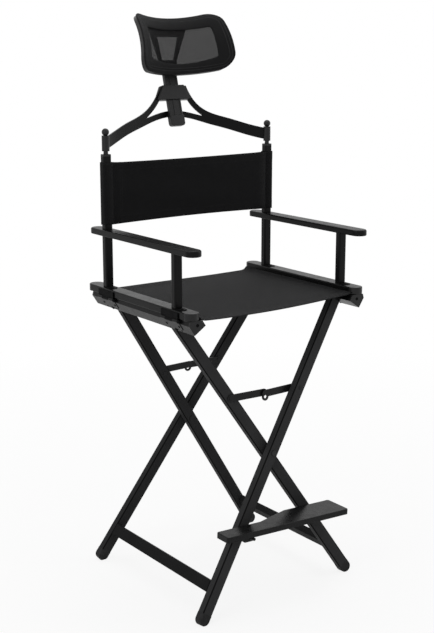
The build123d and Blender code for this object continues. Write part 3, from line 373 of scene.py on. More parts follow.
def painted_corner_shade(material):
    """Painted shade on a tube's long rounded edges, where its wall turns from front to side: a
    darker coat colour that stands in for the dark reflection there.
    """
    tree = material.node_tree
    coat = tree.nodes["Principled BSDF"].inputs["Base Color"]
    plain = coat.links[0].from_socket
    wall = tree.nodes.new("ShaderNodeNewGeometry").outputs["Normal"]
    # 1 on a wall that faces front or back, 0 on one that faces sideways
    ahead = math_node(tree, "ABSOLUTE", split_node(tree, wall)["Y"])
    leaving_side = span_node(tree, ahead, 0.08, 0.3, 0.0, corner_shade_share)
    reaching_front = span_node(tree, ahead, 0.985, 0.9)
    corner_shade_mask = math_node(tree, "MULTIPLY", leaving_side, reaching_front)
    black = grey(corner_shade_black, corner_shade_black)
    # paints the shade over the coat's own colour on the corners
    tree.links.new(mix_colour(tree, corner_shade_mask, plain, black), coat)


# painted light and shade: one coat in three tones, the front legs painted paler, the rear legs and
# low rails painted darker
for coat_name, tone, node_names in (
    ("front_leg_painted_light_coat", 0.038, ["leg_front_inner", "leg_front_outer"]),
    ("rear_leg_painted_shade_coat", 0.028, ["leg_rear_inner", "leg_rear_outer"]),
    ("low_rail_painted_shade_coat", 0.016, both_sides("bottom_rail")),
):
    dull_coat = coat_material(
        coat_name,
        colour=grey(tone, 1.02 * tone),
        worn=grey(0.06, 0.062),
        patches=(9.0, 0.14),
        roughness=(0.42, 0.06),
        grain=(1100.0, 0.000015),
        edges=(0.0009, 0.35),
        shine=(1.5, 0.012),
    )
    painted_corner_shade(dull_coat)
    dress(node_names, dull_coat)

# Armrests: polished black mouldings, smoother than the tubes, rubbed a little duller where
# hands slide along them.
arm_moulding = coat_material(
    "arm_polished_moulding",
    colour=grey(0.0036, 0.0038),
    worn=grey(0.03, 0.031),
    patches=(6.0, 0.08),
    roughness=(0.34, 0.05),
    grain=(1500.0, 0.000006),
    edges=(0.0006, 0.3),
    shine=(1.5, 0.1),
)
dress(both_sides("armrest"), arm_moulding)

# Footrest tread: one black moulding with a coarse anti-slip grain moulded into its top, which
# catches the light in fine specks.
tread_moulding = coat_material(
    "tread_grip_moulding",
    colour=grey(0.0075, 0.0078),
    worn=grey(0.03, 0.031),
    patches=(300.0, 0.8),
    roughness=(0.3, 0.08),
    grain=(520.0, 0.0001),
    edges=(0.0006, 0.25),
    shine=(1.5, 0.115),
)
dress(["footrest_tread"], tread_moulding)

# Caps, sleeves, headrest housing, slider and pad frame: satin black mouldings with a fine
# spark-eroded grain.
satin_moulding = coat_material(
    "satin_black_moulding",
    colour=grey(0.0092, 0.0096),
    worn=grey(0.045, 0.047),
    patches=(22.0, 0.12),
    roughness=(0.38, 0.06),
    grain=(1400.0, 0.00003),
    edges=(0.0006, 0.3),
    shine=(1.48, 0.25),
)
dress(both_sides("rail_caps", "bar_caps", "post_cap"), satin_moulding)
dress(["cross_caps", "headrest_sleeves", "headrest_balls", "headrest_housing"], satin_moulding)
dress(["headrest_knob", "headrest_stem", "stem_end_cap", "pad_frame", "pad_struts"], satin_moulding)

# Feet: tough matt mouldings pushed into the ends of the legs, scuffed grey where they meet
# the floor.
foot_moulding = coat_material(
    "foot_matt_moulding",
    colour=grey(0.03, 0.0306),
    worn=grey(0.08, 0.082),
    patches=(60.0, 0.3),
    roughness=(0.55, 0.12),
    grain=(1200.0, 0.00005),
    edges=(0.001, 0.6),
    shine=(1.48, 0.03),
)
dress(["feet_inner", "feet_outer"], foot_moulding)

# Pins, rivets and lock bars: steel with a black plated finish that is rubbed a little paler
# at the edges.
plated_steel = coat_material(
    "black_plated_steel",
    colour=grey(0.011, 0.0115),
    worn=grey(0.09, 0.093),
    patches=(70.0, 0.2),
    roughness=(0.3, 0.08),
    grain=(1800.0, 0.00001),
    edges=(0.0005, 0.5),
    shine=(1.5, 0.15),
    metallic=0.2,
)
dress(both_sides("hinge_pins"), plated_steel)
dress(["cross_pins", "link_rivets_inner", "link_rivets_outer"], plated_steel)
dress(["footrest_pin", "footrest_peg", "tilt_pin"], plated_steel)
for lock_bar_end in ("front_inner", "rear_inner", "front_outer", "rear_outer"):
    dress(["lock_link_" + lock_bar_end, "lock_rivet_" + lock_bar_end], plated_steel)

# Hinge brackets: pressed steel stained matt black, fixed under the outer edge of each rail,
# where they hold the pins that the crossed legs turn on.
stained_steel = coat_material(
    "black_stained_steel",
    colour=grey(0.0035, 0.0037),
    worn=grey(0.02, 0.021),
    patches=(90.0, 0.25),
    roughness=(0.5, 0.1),
    grain=(1600.0, 0.00002),
    edges=(0.0004, 0.3),
    shine=(1.5, 0.03),
)
dress(both_sides("hinge_brackets"), stained_steel)

# Seat: one width of heavy woven cloth, hemmed front and back with two rows of stitching. Its
# side edges carry a bead that slides into the slot in each rail, and it sags between them.
cloth_group, cloth_in, cloth_out = effect_group(
    "plain_weave",
    {
        "Vector": "Vector",
        "Color": "Color",
        "Gap Color": "Color",
        "Threads": "Float",
        "Fade": "Float",
    },
    {"Color": "Color", "Height": "Float"},
)
cloth_math = partial(math_node, cloth_group)
thread_place = scaled_node(cloth_group, cloth_in["Vector"], cloth_in["Threads"])
thread_axes = split_node(cloth_group, thread_place)


def thread_round(across):
    """Height of round threads that lie side by side: 1 on each thread's top, 0 between two."""
    wave = cloth_math("SINE", cloth_math("MULTIPLY", across, math.pi))
    return cloth_math("ABSOLUTE", wave)


warp_wave = thread_round(thread_axes["X"])
weft_wave = thread_round(thread_axes["Y"])
warp_row = cloth_math("FLOOR", thread_axes["X"])
weft_row = cloth_math("FLOOR", thread_axes["Y"])
thread_count = cloth_math("ADD", warp_row, weft_row)
warp_on_top = cloth_math("FLOORED_MODULO", thread_count, 2.0)
weft_on_top = cloth_math("SUBTRACT", 1.0, warp_on_top)
over_warp = cloth_math("MULTIPLY", warp_wave, warp_on_top)
over_weft = cloth_math("MULTIPLY", weft_wave, weft_on_top)
thread_height = cloth_math("ADD", over_warp, over_weft)
fade_noise = noise_node(cloth_group, cloth_in["Vector"], 30.0, 4.0, 0.6)
fade_swing = swing_node(cloth_group, fade_noise)
fade_gain = cloth_math("MULTIPLY_ADD", fade_swing, cloth_in["Fade"], 1.0)
cloth_toned = scaled_node(cloth_group, cloth_in["Color"], fade_gain)
thread_share = span_node(cloth_group, thread_height, 0.0, 0.5)
weave_colour = mix_colour(cloth_group, thread_share, cloth_in["Gap Color"], cloth_toned)
cloth_group.links.new(weave_colour, cloth_out["Color"])
cloth_group.links.new(thread_height, cloth_out["Height"])

# rows of stitches, drawn along the cloth's U direction at set distances V from its edge
stitch_height = 0.0003
stitch_group, stitch_in, stitch_out = effect_group(
    "stitch_rows",
    {
        "Vector": "Vector",
        "Half Width": "Float",
        "First Row": "Float",
        "Second Row": "Float",
        "Stitch Length": "Float",
        "Thread Radius": "Float",
    },
    {"Mask": "Float"},
)
stitch_math = partial(math_node, stitch_group)
stitch_axes = split_node(stitch_group, stitch_in["Vector"])
off_middle = stitch_math("ABSOLUTE", stitch_axes["Y"])
edge_distance = stitch_math("SUBTRACT", stitch_in["Half Width"], off_middle)
row_masks = []
for row_name in ("First Row", "Second Row"):
    beside_row = stitch_math("SUBTRACT", edge_distance, stitch_in[row_name])
    off_row = stitch_math("ABSOLUTE", beside_row)
    row_share = stitch_math("DIVIDE", off_row, stitch_in["Thread Radius"])
    row_masks.append(span_node(stitch_group, row_share, 1.0, 0.4))
both_rows = stitch_math("MAXIMUM", row_masks[0], row_masks[1])
along_stitch = stitch_math("DIVIDE", stitch_axes["X"], stitch_in["Stitch Length"])
stitch_step = stitch_math("FRACT", along_stitch)
step_from_middle = stitch_math("SUBTRACT", stitch_step, 0.5)
off_stitch = stitch_math("ABSOLUTE", step_from_middle)
stitch_gap = span_node(stitch_group, off_stitch, 0.34, 0.42)
stitch_dash = stitch_math("SUBTRACT", 1.0, stitch_gap)
stitch_mask = stitch_math("MULTIPLY", both_rows, stitch_dash)
stitch_group.links.new(stitch_mask, stitch_out["Mask"])


def stitches(half_width, rows, length=0.0036, radius=0.0006):
    """Two rows of stitches, at distances from the edges that lie half_width off the middle."""
    return {
        "Half Width": half_width,
        "First Row": rows[0],
        "Second Row": rows[1],
        "Stitch Length": length,
        "Thread Radius": radius,
    }


def cloth_material(name, weave, rows, thread_colour, roughness, shine, weave_height, cross=None):
    """Woven cloth with stitch rows along two edges, and with cross also along the other two."""
    fuzz = {"Sheen Weight": 0.02, "Sheen Roughness": 0.5}
    material, tree, shader = new_material(
        name, {"Roughness": roughness, "Specular IOR Level": shine, **fuzz}
    )
    pattern = tree.nodes.new("ShaderNodeUVMap")
    pattern.uv_map = "cut"
    cut = pattern.outputs["UV"]
    threads = effect_node(tree, cloth_group, cut, weave)
    row_mask = effect_node(tree, stitch_group, cut, rows)["Mask"]
    if cross:
        flat_axes = split_node(tree, cut)
        turned_axes = tree.nodes.new("ShaderNodeCombineXYZ")
        tree.links.new(flat_axes["X"], turned_axes.inputs["Y"])
        tree.links.new(flat_axes["Y"], turned_axes.inputs["X"])
        cross_mask = effect_node(tree, stitch_group, turned_axes.outputs[0], cross)["Mask"]
        row_mask = math_node(tree, "MAXIMUM", row_mask, cross_mask)
    colour = mix_colour(tree, row_mask, threads["Color"], thread_colour)
    tree.links.new(colour, shader.inputs["Base Color"])
    weave_normal = bump_node(tree, threads["Height"], weave_height)
    row_normal = bump_node(tree, row_mask, stitch_height, weave_normal)
    tree.links.new(row_normal, shader.inputs["Normal"])
    return material


def mesh_object(name, form, material, smooth=True):
    """Closes a bmesh into an object at the origin with one finish."""
    mesh = bpy.data.meshes.new(name)
    form.to_mesh(mesh)
    form.free()
    mesh.materials.append(material)
    for polygon in mesh.polygons:
        polygon.use_smooth = smooth
    piece = bpy.data.objects.new(name, mesh)
    bpy.context.collection.objects.link(piece)
    return piece


def lay_cut(form, places):
    """Writes each vertex's place on the flat cut cloth into the form's UV map."""
    layer = form.loops.layers.uv.new("cut")
    for face in form.faces:
        for corner in face.loops:
            corner[layer].uv = places[corner.vert]


def solidify(piece, thickness):
    wall = piece.modifiers.new("cloth_thickness", "SOLIDIFY")
    wall.thickness = thickness
    wall.offset = 0.0
    wall.use_even_offset = True


seat_low, seat_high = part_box("seat_canvas")
seat_middle_y = (seat_low[1] + seat_high[1]) / 2
seat_half_x = 0.2368
seat_half_y = 0.2175
seat_thickness = 0.0015
seat_rail_z = 0.757
rail_face_x = -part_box("rail_left")[1][0]
# the cloth is free of the slot a little inside the rail's face, and turns down steeply there
seat_free_x = rail_face_x - 0.0008
seat_turn_power = 50
seat_edge_drop = 0.0088
seat_right_rise = 0.0024
# the belly hangs lower in front, and a little towards the left there
seat_belly = 0.0067
seat_back_belly = 0.0003
seat_skew = 0.3
seat_hem = 0.026
seat_hem_height = 0.0005
seat_waist = 0.0035
# faint waves that the hems pull into the cloth
pull_height = 0.0006
pull_waves_along = 9
pull_waves_across = 14


def seat_height_at(x, y):
    side = max(-1, min(1, x / seat_free_x))
    along = y / seat_half_y
    ahead = (1 - along) / 2
    across = 1 - side ** 2
    hung = seat_edge_drop - seat_right_rise * ahead * (1 + side)
    drop = hung * (1 - abs(side) ** seat_turn_power)
    belly = (seat_back_belly + seat_belly * ahead) * across * (1 - seat_skew * side * ahead)
    waves = math.sin(pull_waves_along * along + pull_waves_across * x)
    pull = pull_height * waves * across * abs(along) ** 3
    hem = seat_hem_height if seat_half_y - abs(y) < seat_hem else 0.0
    return seat_rail_z - (drop + belly) + pull + hem


seat_form = bmesh.new()
bmesh.ops.create_grid(seat_form, x_segments=56, y_segments=72, size=1.0, calc_uvs=False)
seat_places = {}
for vertex in seat_form.verts:
    x = seat_half_x * math.sin(vertex.co.x * math.pi / 2)
    y = seat_half_y * vertex.co.y
    seat_places[vertex] = (x, y)
    waist = seat_waist * (1 - (x / seat_half_x) ** 2) * (y / seat_half_y) ** 5
    vertex.co = (x, seat_middle_y + y - waist, seat_height_at(x, y))
lay_cut(seat_form, seat_places)
seat_weave = cloth_material(
    "seat_heavy_weave",
    {"Color": grey(0.0125, 0.013), "Gap Color": grey(0.004, 0.0042), "Threads": 1100.0, "Fade": 0.1},
    stitches(seat_half_y, (0.004, 0.023)),
    grey(0.03, 0.032),
    roughness=0.85,
    shine=0.12,
    weave_height=0.00012,
)
seat_piece = mesh_object("seat_cloth", seat_form, seat_weave)
solidify(seat_piece, seat_thickness)
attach(seat_piece, "side_left")
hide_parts("seat_canvas")
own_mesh(seat_piece)

# Back: a band of the same cloth in black. Each end is sewn into a sleeve that slides down over
# the back post, and the top and bottom edges are turned in and stitched.
back_low, back_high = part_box("back_canvas")
back_bottom_z = back_low[2]
back_top_z = back_high[2]
post_low, post_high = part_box("post_back_left")
post_x = -(post_low[0] + post_high[0]) / 2
post_y = (post_low[1] + post_high[1]) / 2
sleeve_half_x = 0.0127
sleeve_half_y = 0.0107
sleeve_corner = 0.0052
sleeve_face_x = post_x - sleeve_half_x
seam_inset = 0.034
seam_x = post_x - seam_inset
back_bow = 0.006
back_thickness = 0.0014
back_lift_at_post = 0.0003
flap_gap = 0.0019
# the turned-in flap leaves the sleeve's last corner after some points, passes two places
# measured from the sleeve, then two measured from the seam
flap_after = 3
flap_off_sleeve = [(-0.002, 0.002), (-0.009, -0.0045)]
flap_off_seam = [(0.006, 0.0002), (-0.004, 0.0004)]
panel_steps = 12
sleeve_steps = 4


def corner_arc(start, steps):
    """Directions round a quarter turn that starts at an angle in degrees."""
    turns = [math.radians(start + 90 * step / steps) for step in range(steps + 1)]
    return [(math.cos(turn), math.sin(turn)) for turn in turns]


def sleeve_corner_points(cx, cy, start):
    """Points round one corner of the right post's sleeve."""
    return [
        (post_x + cx + sleeve_corner * across, post_y + cy + sleeve_corner * ahead)
        for across, ahead in corner_arc(start, sleeve_steps)
    ]


def back_profile():
    """Plan of the band, from the end of the left sleeve round to the end of the right one."""
    inner_x = sleeve_half_x - sleeve_corner
    inner_y = sleeve_half_y - sleeve_corner
    panel_y = post_y - sleeve_half_y
    right = []
    for i in range(panel_steps + 1):
        x = seam_x * i / panel_steps
        right.append((x, panel_y + back_bow * (1 - (x / post_x) ** 2)))
    right.append((sleeve_face_x, panel_y + back_lift_at_post))
    right += sleeve_corner_points(inner_x, -inner_y, -90)
    right += sleeve_corner_points(inner_x, inner_y, 0)
    right += sleeve_corner_points(-inner_x, inner_y, 90)[:flap_after]
    flap_y = panel_y + back_bow * (1 - (seam_x / post_x) ** 2) + flap_gap
    right += [(sleeve_face_x + dx, post_y + dy) for dx, dy in flap_off_sleeve]
    right += [(seam_x + dx, flap_y + dy) for dx, dy in flap_off_seam]
    left = [(-x, y) for x, y in reversed(right[1:])]
    return left + right


back_points = back_profile()
back_form = bmesh.new()
back_row = [back_form.verts.new((x, y, back_bottom_z)) for x, y in back_points]
open_edges = [back_form.edges.new(pair) for pair in zip(back_row, back_row[1:])]
back_rows = 24
back_step = (back_top_z - back_bottom_z) / back_rows
for _ in range(back_rows):
    grown = bmesh.ops.extrude_edge_only(back_form, edges=open_edges)["geom"]
    moved = [item for item in grown if isinstance(item, bmesh.types.BMVert)]
    grown_edges = [item for item in grown if isinstance(item, bmesh.types.BMEdge)]
    open_edges = [edge for edge in grown_edges if all(v in moved for v in edge.verts)]
    bmesh.ops.translate(back_form, verts=moved, vec=(0, 0, back_step))
back_middle_z = (back_bottom_z + back_top_z) / 2
back_half_z = (back_top_z - back_bottom_z) / 2
profile_length = {}
run = 0.0
for i, (x, y) in enumerate(back_points):
    if i:
        run += math.dist((x, y), back_points[i - 1])
    profile_length[(round(x, 6), round(y, 6))] = run
back_places = {}
for vertex in back_form.verts:
    x, y, z = vertex.co
    along = profile_length[(round(x, 6), round(y, 6))] - run / 2
    back_places[vertex] = (along, z - back_middle_z)
lay_cut(back_form, back_places)
back_hem = 0.022
back_hem_height = 0.0004
back_waist = 0.0025
back_wave_depth = 0.0008
back_waves_up = 6
back_waves_across = 9
panel_behind = 0.002
hem_behind = 0.006
for vertex in back_form.verts:
    x, y, z = vertex.co
    height = (z - back_middle_z) / back_half_z
    if abs(x) < sleeve_face_x and y < post_y - panel_behind:
        across = 1 - (x / post_x) ** 2
        wave = math.sin(back_waves_up * height + back_waves_across * x)
        vertex.co.y += back_wave_depth * wave * across
        vertex.co.z -= back_waist * across * height ** 3
    if back_half_z - abs(z - back_middle_z) < back_hem and y < post_y - hem_behind:
        vertex.co.y -= back_hem_height
bmesh.ops.recalc_face_normals(back_form, faces=back_form.faces)
back_weave = cloth_material(
    "back_black_weave",
    {"Color": grey(0.0065, 0.007), "Gap Color": grey(0.002, 0.002), "Threads": 1150.0, "Fade": 0.12},
    stitches(back_half_z, (0.004, 0.020)),
    grey(0.011, 0.0115),
    roughness=0.9,
    shine=0.12,
    weave_height=0.0001,
    cross=stitches(seam_x, (0.0, 0.006)),
)


def back_share(low_x, high_x):
    """Copy of the band's mesh with only its faces between two distances across the chair."""
    share_form = back_form.copy()
    dropped = [
        face for face in share_form.faces if not low_x < face.calc_center_median().x < high_x
    ]
    bmesh.ops.delete(share_form, geom=dropped, context="FACES")
    return share_form


for sleeve_name, body_name, sleeve_post, low_x, high_x in (
    ("back_sleeve_left", "side_left", "post_back_left", -1, -sleeve_face_x),
    ("back_sleeve_right", "side_right", "post_back_right", sleeve_face_x, 1),
):
    sleeve_piece = mesh_object(sleeve_name, back_share(low_x, high_x), back_weave)
    solidify(sleeve_piece, back_thickness)
    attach(sleeve_piece, body_name)
back_piece = mesh_object("back_cloth", back_share(-sleeve_face_x, sleeve_face_x), back_weave)
back_form.free()
solidify(back_piece, back_thickness)
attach(back_piece, "side_left")
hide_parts("back_canvas")
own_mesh(back_piece)

# Headrest face: open spacer mesh stretched over the saddle-shaped frame and held in a groove
# of its rim. Rows of small knitted holes let some light through, so the struts behind it show
# as dark bars.
pad_tilt = math.radians(22.2)
pad_up = Vector((0, math.sin(pad_tilt), math.cos(pad_tilt)))
pad_back = Vector((0, math.cos(pad_tilt), -math.sin(pad_tilt)))
pad_centre = Vector((0, 0.21752, 1.36630))
plan_radius = 0.1985
bulge_radius = 0.1806
pad_low_half = 0.1418
pad_top_half = 0.1279
pad_half_height = 0.07605
pad_top_dip = 0.0045
net_inset = 0.0055
net_corner = 0.03
net_lift = -0.0006


def pad_point(x, z, lift):
    """Place on the pad's curved front, x across, z up it, lift towards the sitter."""
    reach = plan_radius + bulge_radius - math.sqrt((bulge_radius + lift) ** 2 - z ** 2)
    depth = math.sqrt(reach ** 2 - x ** 2) - plan_radius
    return pad_centre + Vector((x, 0, 0)) + pad_up * z + pad_back * depth


def top_dipped(x, z):
    """Lowers the middle of the top edge, where the rim dips for the neck."""
    share = (z + pad_half_height) / (2 * pad_half_height)
    return z - pad_top_dip * (1 - (x / pad_top_half) ** 2) * share


net_rows = 54
net_columns = 84
net_half_height = pad_half_height - net_inset
net_form = bmesh.new()
net_places = {}
net_grid = []
for row in range(net_rows + 1):
    z = -net_half_height + 2 * net_half_height * row / net_rows
    share = (z + pad_half_height) / (2 * pad_half_height)
    half_width = pad_low_half + (pad_top_half - pad_low_half) * share - net_inset
    into_corner = abs(z) - (net_half_height - net_corner)
    if into_corner > 0:
        half_width -= net_corner - math.sqrt(max(net_corner ** 2 - into_corner ** 2, 0))
    line = []
    for column in range(net_columns + 1):
        x = half_width * (2 * column / net_columns - 1)
        vertex = net_form.verts.new(pad_point(x, top_dipped(x, z), net_lift))
        net_places[vertex] = (plan_radius * math.asin(x / plan_radius), z)
        line.append(vertex)
    net_grid.append(line)
for low_line, high_line in zip(net_grid, net_grid[1:]):
    for column in range(net_columns):
        net_form.faces.new(
            (low_line[column], low_line[column + 1], high_line[column + 1], high_line[column])
        )
lay_cut(net_form, net_places)
net_group, net_in, net_out = effect_group(
    "knitted_holes",
    {
        "Vector": "Vector",
        "Color": "Color",
        "Hole Pitch": "Float",
        "Hole Edge": "Float",
        "Hole Cover": "Float",
    },
    {"Color": "Color", "Alpha": "Float", "Height": "Float"},
)
net_math = partial(math_node, net_group)
net_axes = split_node(net_group, net_in["Vector"])
hole_waves = []
for axis_name in ("X", "Y"):
    pitches = net_math("DIVIDE", net_axes[axis_name], net_in["Hole Pitch"])
    turns = net_math("MULTIPLY", pitches, math.pi)
    hole_waves.append(net_math("COSINE", turns))
hole_field = net_math("MULTIPLY", hole_waves[0], hole_waves[1])
hole_blur = 0.25
hole_high = net_math("ADD", net_in["Hole Edge"], hole_blur)
hole_share = span_node(net_group, hole_field, net_in["Hole Edge"], hole_high)
net_cover = span_node(net_group, hole_share, 0.0, 1.0, 1.0, net_in["Hole Cover"])
net_group.links.new(net_cover, net_out["Alpha"])
knit_height = net_math("SUBTRACT", 1.0, hole_share)
net_group.links.new(knit_height, net_out["Height"])
knit_noise = noise_node(net_group, net_in["Vector"], 60.0, 3.0, 0.6)
knit_tone = scaled_node(net_group, net_in["Color"], swing_node(net_group, knit_noise, 0.92, 1.08))
net_group.links.new(knit_tone, net_out["Color"])
spacer_net, spacer_tree, spacer_shader = new_material(
    "headrest_spacer_net", {"Roughness": 0.75, "Specular IOR Level": 0.08}
)
spacer_uv = spacer_tree.nodes.new("ShaderNodeUVMap")
spacer_uv.uv_map = "cut"
spacer_knit = effect_node(
    spacer_tree,
    net_group,
    spacer_uv.outputs["UV"],
    {"Color": grey(0.008, 0.0083), "Hole Pitch": 0.0016, "Hole Edge": 0.3, "Hole Cover": 0.75},
)
spacer_tree.links.new(spacer_knit["Color"], spacer_shader.inputs["Base Color"])
spacer_tree.links.new(spacer_knit["Alpha"], spacer_shader.inputs["Alpha"])
knit_depth = 0.0003
spacer_normal = bump_node(spacer_tree, spacer_knit["Height"], knit_depth)
spacer_tree.links.new(spacer_normal, spacer_shader.inputs["Normal"])
net_piece = mesh_object("headrest_net", net_form, spacer_net)
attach(net_piece, "headrest_pad")
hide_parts("pad_mesh")

# Headrest border: a wide band of black cloth over thin foam, sewn round the window in the
# mesh with its inner edge turned under, and drawn over the front of the rim. Two rows of
# stitches run inside its outer edge.
window_corners = [(0.1006, 0.0360), (-0.0950, 0.0360), (-0.1010, -0.0455), (0.1046, -0.0455)]
window_radii = [0.0080, 0.0080, 0.0060, 0.0060]
window_bow = 0.0080
outline_corners = [
    (pad_top_half, pad_half_height),
    (-pad_top_half, pad_half_height),
    (-pad_low_half, -pad_half_height),
    (pad_low_half, -pad_half_height),
]
outline_radii = [0.0359, 0.0359, 0.0277, 0.0277]
border_arc_steps = 8
border_side_steps = 22
# share of the way from the window to the rim, and height over the mesh
border_profile = [
    (0.0, 0.0004), (0.012, 0.0016), (0.05, 0.0022), (0.15, 0.0028), (0.35, 0.0034),
    (0.55, 0.0036), (0.72, 0.0034), (0.84, 0.0030), (0.93, 0.0026), (0.985, 0.0022),
    (1.012, 0.0014), (1.018, 0.0002), (1.018, -0.0014),
]


def rounded_line(corners, radii):
    """Closed outline with rounded corners, the same number of points on every corner and side."""
    arcs = []
    for i, spot in enumerate(corners):
        spot = Vector(spot)
        before = (Vector(corners[i - 1]) - spot).normalized()
        after = (Vector(corners[(i + 1) % len(corners)]) - spot).normalized()
        half_angle = before.angle(after) / 2
        centre = spot + (before + after).normalized() * (radii[i] / math.sin(half_angle))
        start = spot + before * (radii[i] / math.tan(half_angle)) - centre
        sweep = math.pi - 2 * half_angle
        turns = [sweep * step / border_arc_steps for step in range(border_arc_steps + 1)]
        arcs.append([centre + Matrix.Rotation(turn, 2) @ start for turn in turns])
    points = []
    for i, arc in enumerate(arcs):
        points += arc
        following = arcs[(i + 1) % len(arcs)][0]
        shares = [step / border_side_steps for step in range(1, border_side_steps)]
        points += [arc[-1].lerp(following, share) for share in shares]
    return points


window_line = []
for spot in rounded_line(window_corners, window_radii):
    bow = window_bow * (1 - (spot.x / window_corners[3][0]) ** 2) if spot.y < 0 else 0.0
    window_line.append(Vector((spot.x, spot.y - bow * min(1, spot.y / window_corners[3][1]))))
rim_line = [
    Vector((spot.x, top_dipped(spot.x, spot.y)))
    for spot in rounded_line(outline_corners, outline_radii)
]
border_form = bmesh.new()
border_cut = border_form.loops.layers.uv.new("cut")
border_loops = []
border_places = {}
for share, lift in border_profile:
    loop = []
    run_round = 0.0
    for i, (inner, outer) in enumerate(zip(window_line, rim_line)):
        spot = inner.lerp(outer, share)
        if i:
            run_round += (outer - rim_line[i - 1]).length
        vertex = border_form.verts.new(pad_point(spot.x, spot.y, lift))
        border_places[vertex] = (run_round, (outer - spot).length * (1 if share <= 1 else -1))
        loop.append(vertex)
    border_loops.append(loop)
border_count = len(window_line)
rim_run = sum((rim_line[i] - rim_line[i - 1]).length for i in range(border_count))
for inner_loop, outer_loop in zip(border_loops, border_loops[1:]):
    for i in range(border_count):
        j = (i + 1) % border_count
        face = border_form.faces.new((inner_loop[i], outer_loop[i], outer_loop[j], inner_loop[j]))
        for corner in face.loops:
            along, across = border_places[corner.vert]
            if j == 0 and along < rim_run / 2:
                along += rim_run
            corner[border_cut].uv = (along, across)
bmesh.ops.recalc_face_normals(border_form, faces=border_form.faces)
# V runs inwards from the cloth's outer edge, so its rows lie at distances below 0
border_weave = cloth_material(
    "headrest_border_weave",
    {"Color": grey(0.009, 0.0095), "Gap Color": grey(0.003, 0.003), "Threads": 1300.0, "Fade": 0.08},
    stitches(0.0, (-0.006, -0.012), 0.003, 0.0005),
    grey(0.05, 0.052),
    roughness=0.85,
    shine=0.15,
    weave_height=0.0001,
)
border_thickness = 0.0011
border_piece = mesh_object("headrest_border", border_form, border_weave)
solidify(border_piece, border_thickness)
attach(border_piece, "headrest_pad")

# Hinge leaves: a pressed steel leaf under each hinge knuckle lies on the outer lower face of
# the top bar and is held by two domed rivets. Below it the leg's end is fixed through the same
# wall by a hollow boss and two small rivets.
hinge_middle_front = -0.1451
hinge_middle_rear = 0.1382
hinge_leaf_half = 0.0345
leaf_thickness = 0.0012
leaf_high = -0.0144
leaf_low = 0.0080
leaf_corner = 0.0030
leaf_corner_steps = 4
leaf_rim = 0.0003
# the right top bar's outer lower face: its middle, and the ways out of it and down it
bar_face_middle = Vector((0.2611, 0, 0.7305))
bar_face_out = Vector((0.8337, 0, -0.5522))
bar_face_down = Vector((-0.5522, 0, -0.8337))
# places of the heads along the bar from the hinge's middle, and down the face
rivet_offsets = (-0.0255, 0.0255)
rivet_down = -0.0020
boss_offset = -0.0030
boss_down = 0.0112
small_rivet_offsets = (-0.0250, 0.0235)
small_rivet_down = 0.0118
rivet_head = [(0.0, 0.0013), (0.0013, 0.0012), (0.0026, 0.0008), (0.0034, 0.0)]
small_rivet_head = [(0.0, 0.0010), (0.0009, 0.0009), (0.0017, 0.0006), (0.0022, 0.0)]
hollow_boss = [
    (0.0, 0.0003), (0.0018, 0.0003), (0.0021, 0.0016), (0.0034, 0.0019), (0.0044, 0.0016),
    (0.0050, 0.0),
]


def add_turned(form, profile, foot, axis):
    """Adds a turned head to a bmesh: profile of (radius, height) from its middle to its foot."""
    known = set(form.verts)
    line = [form.verts.new((radius, 0, height)) for radius, height in profile]
    edges = [form.edges.new(pair) for pair in zip(line, line[1:])]
    bmesh.ops.spin(
        form,
        geom=line + edges,
        cent=(0, 0, 0),
        axis=(0, 0, 1),
        angle=2 * math.pi,
        steps=20,
        use_merge=True,
    )
    made = [vertex for vertex in form.verts if vertex not in known]
    bmesh.ops.remove_doubles(form, verts=made, dist=0.000001)
    made = [vertex for vertex in form.verts if vertex not in known]
    turn = axis.to_track_quat("Z", "Y").to_matrix().to_4x4()
    bmesh.ops.transform(form, matrix=Matrix.Translation(foot) @ turn, verts=made)


def raised_plate(outline, lift, rim):
    """Plate on an outline of points: lifted to its thickness, with its upper rim rounded."""
    form = bmesh.new()
    face = form.faces.new([form.verts.new(spot) for spot in outline])
    grown = bmesh.ops.extrude_face_region(form, geom=[face])["geom"]
    lifted = [item for item in grown if isinstance(item, bmesh.types.BMVert)]
    bmesh.ops.translate(form, verts=lifted, vec=lift)
    bmesh.ops.bevel(
        form,
        geom=[edge for edge in form.edges if all(v in lifted for v in edge.verts)],
        offset=rim,
        segments=2,
        profile=0.5,
        affect="EDGES",
        material=-1,
    )
    bmesh.ops.recalc_face_normals(form, faces=form.faces)
    return form


def face_place(side, y, down, out):
    """Point on a top bar's outer lower face, side -1 for the left bar."""
    spot = bar_face_middle + bar_face_down * down + bar_face_out * out
    return Vector((side * spot.x, y, spot.z))


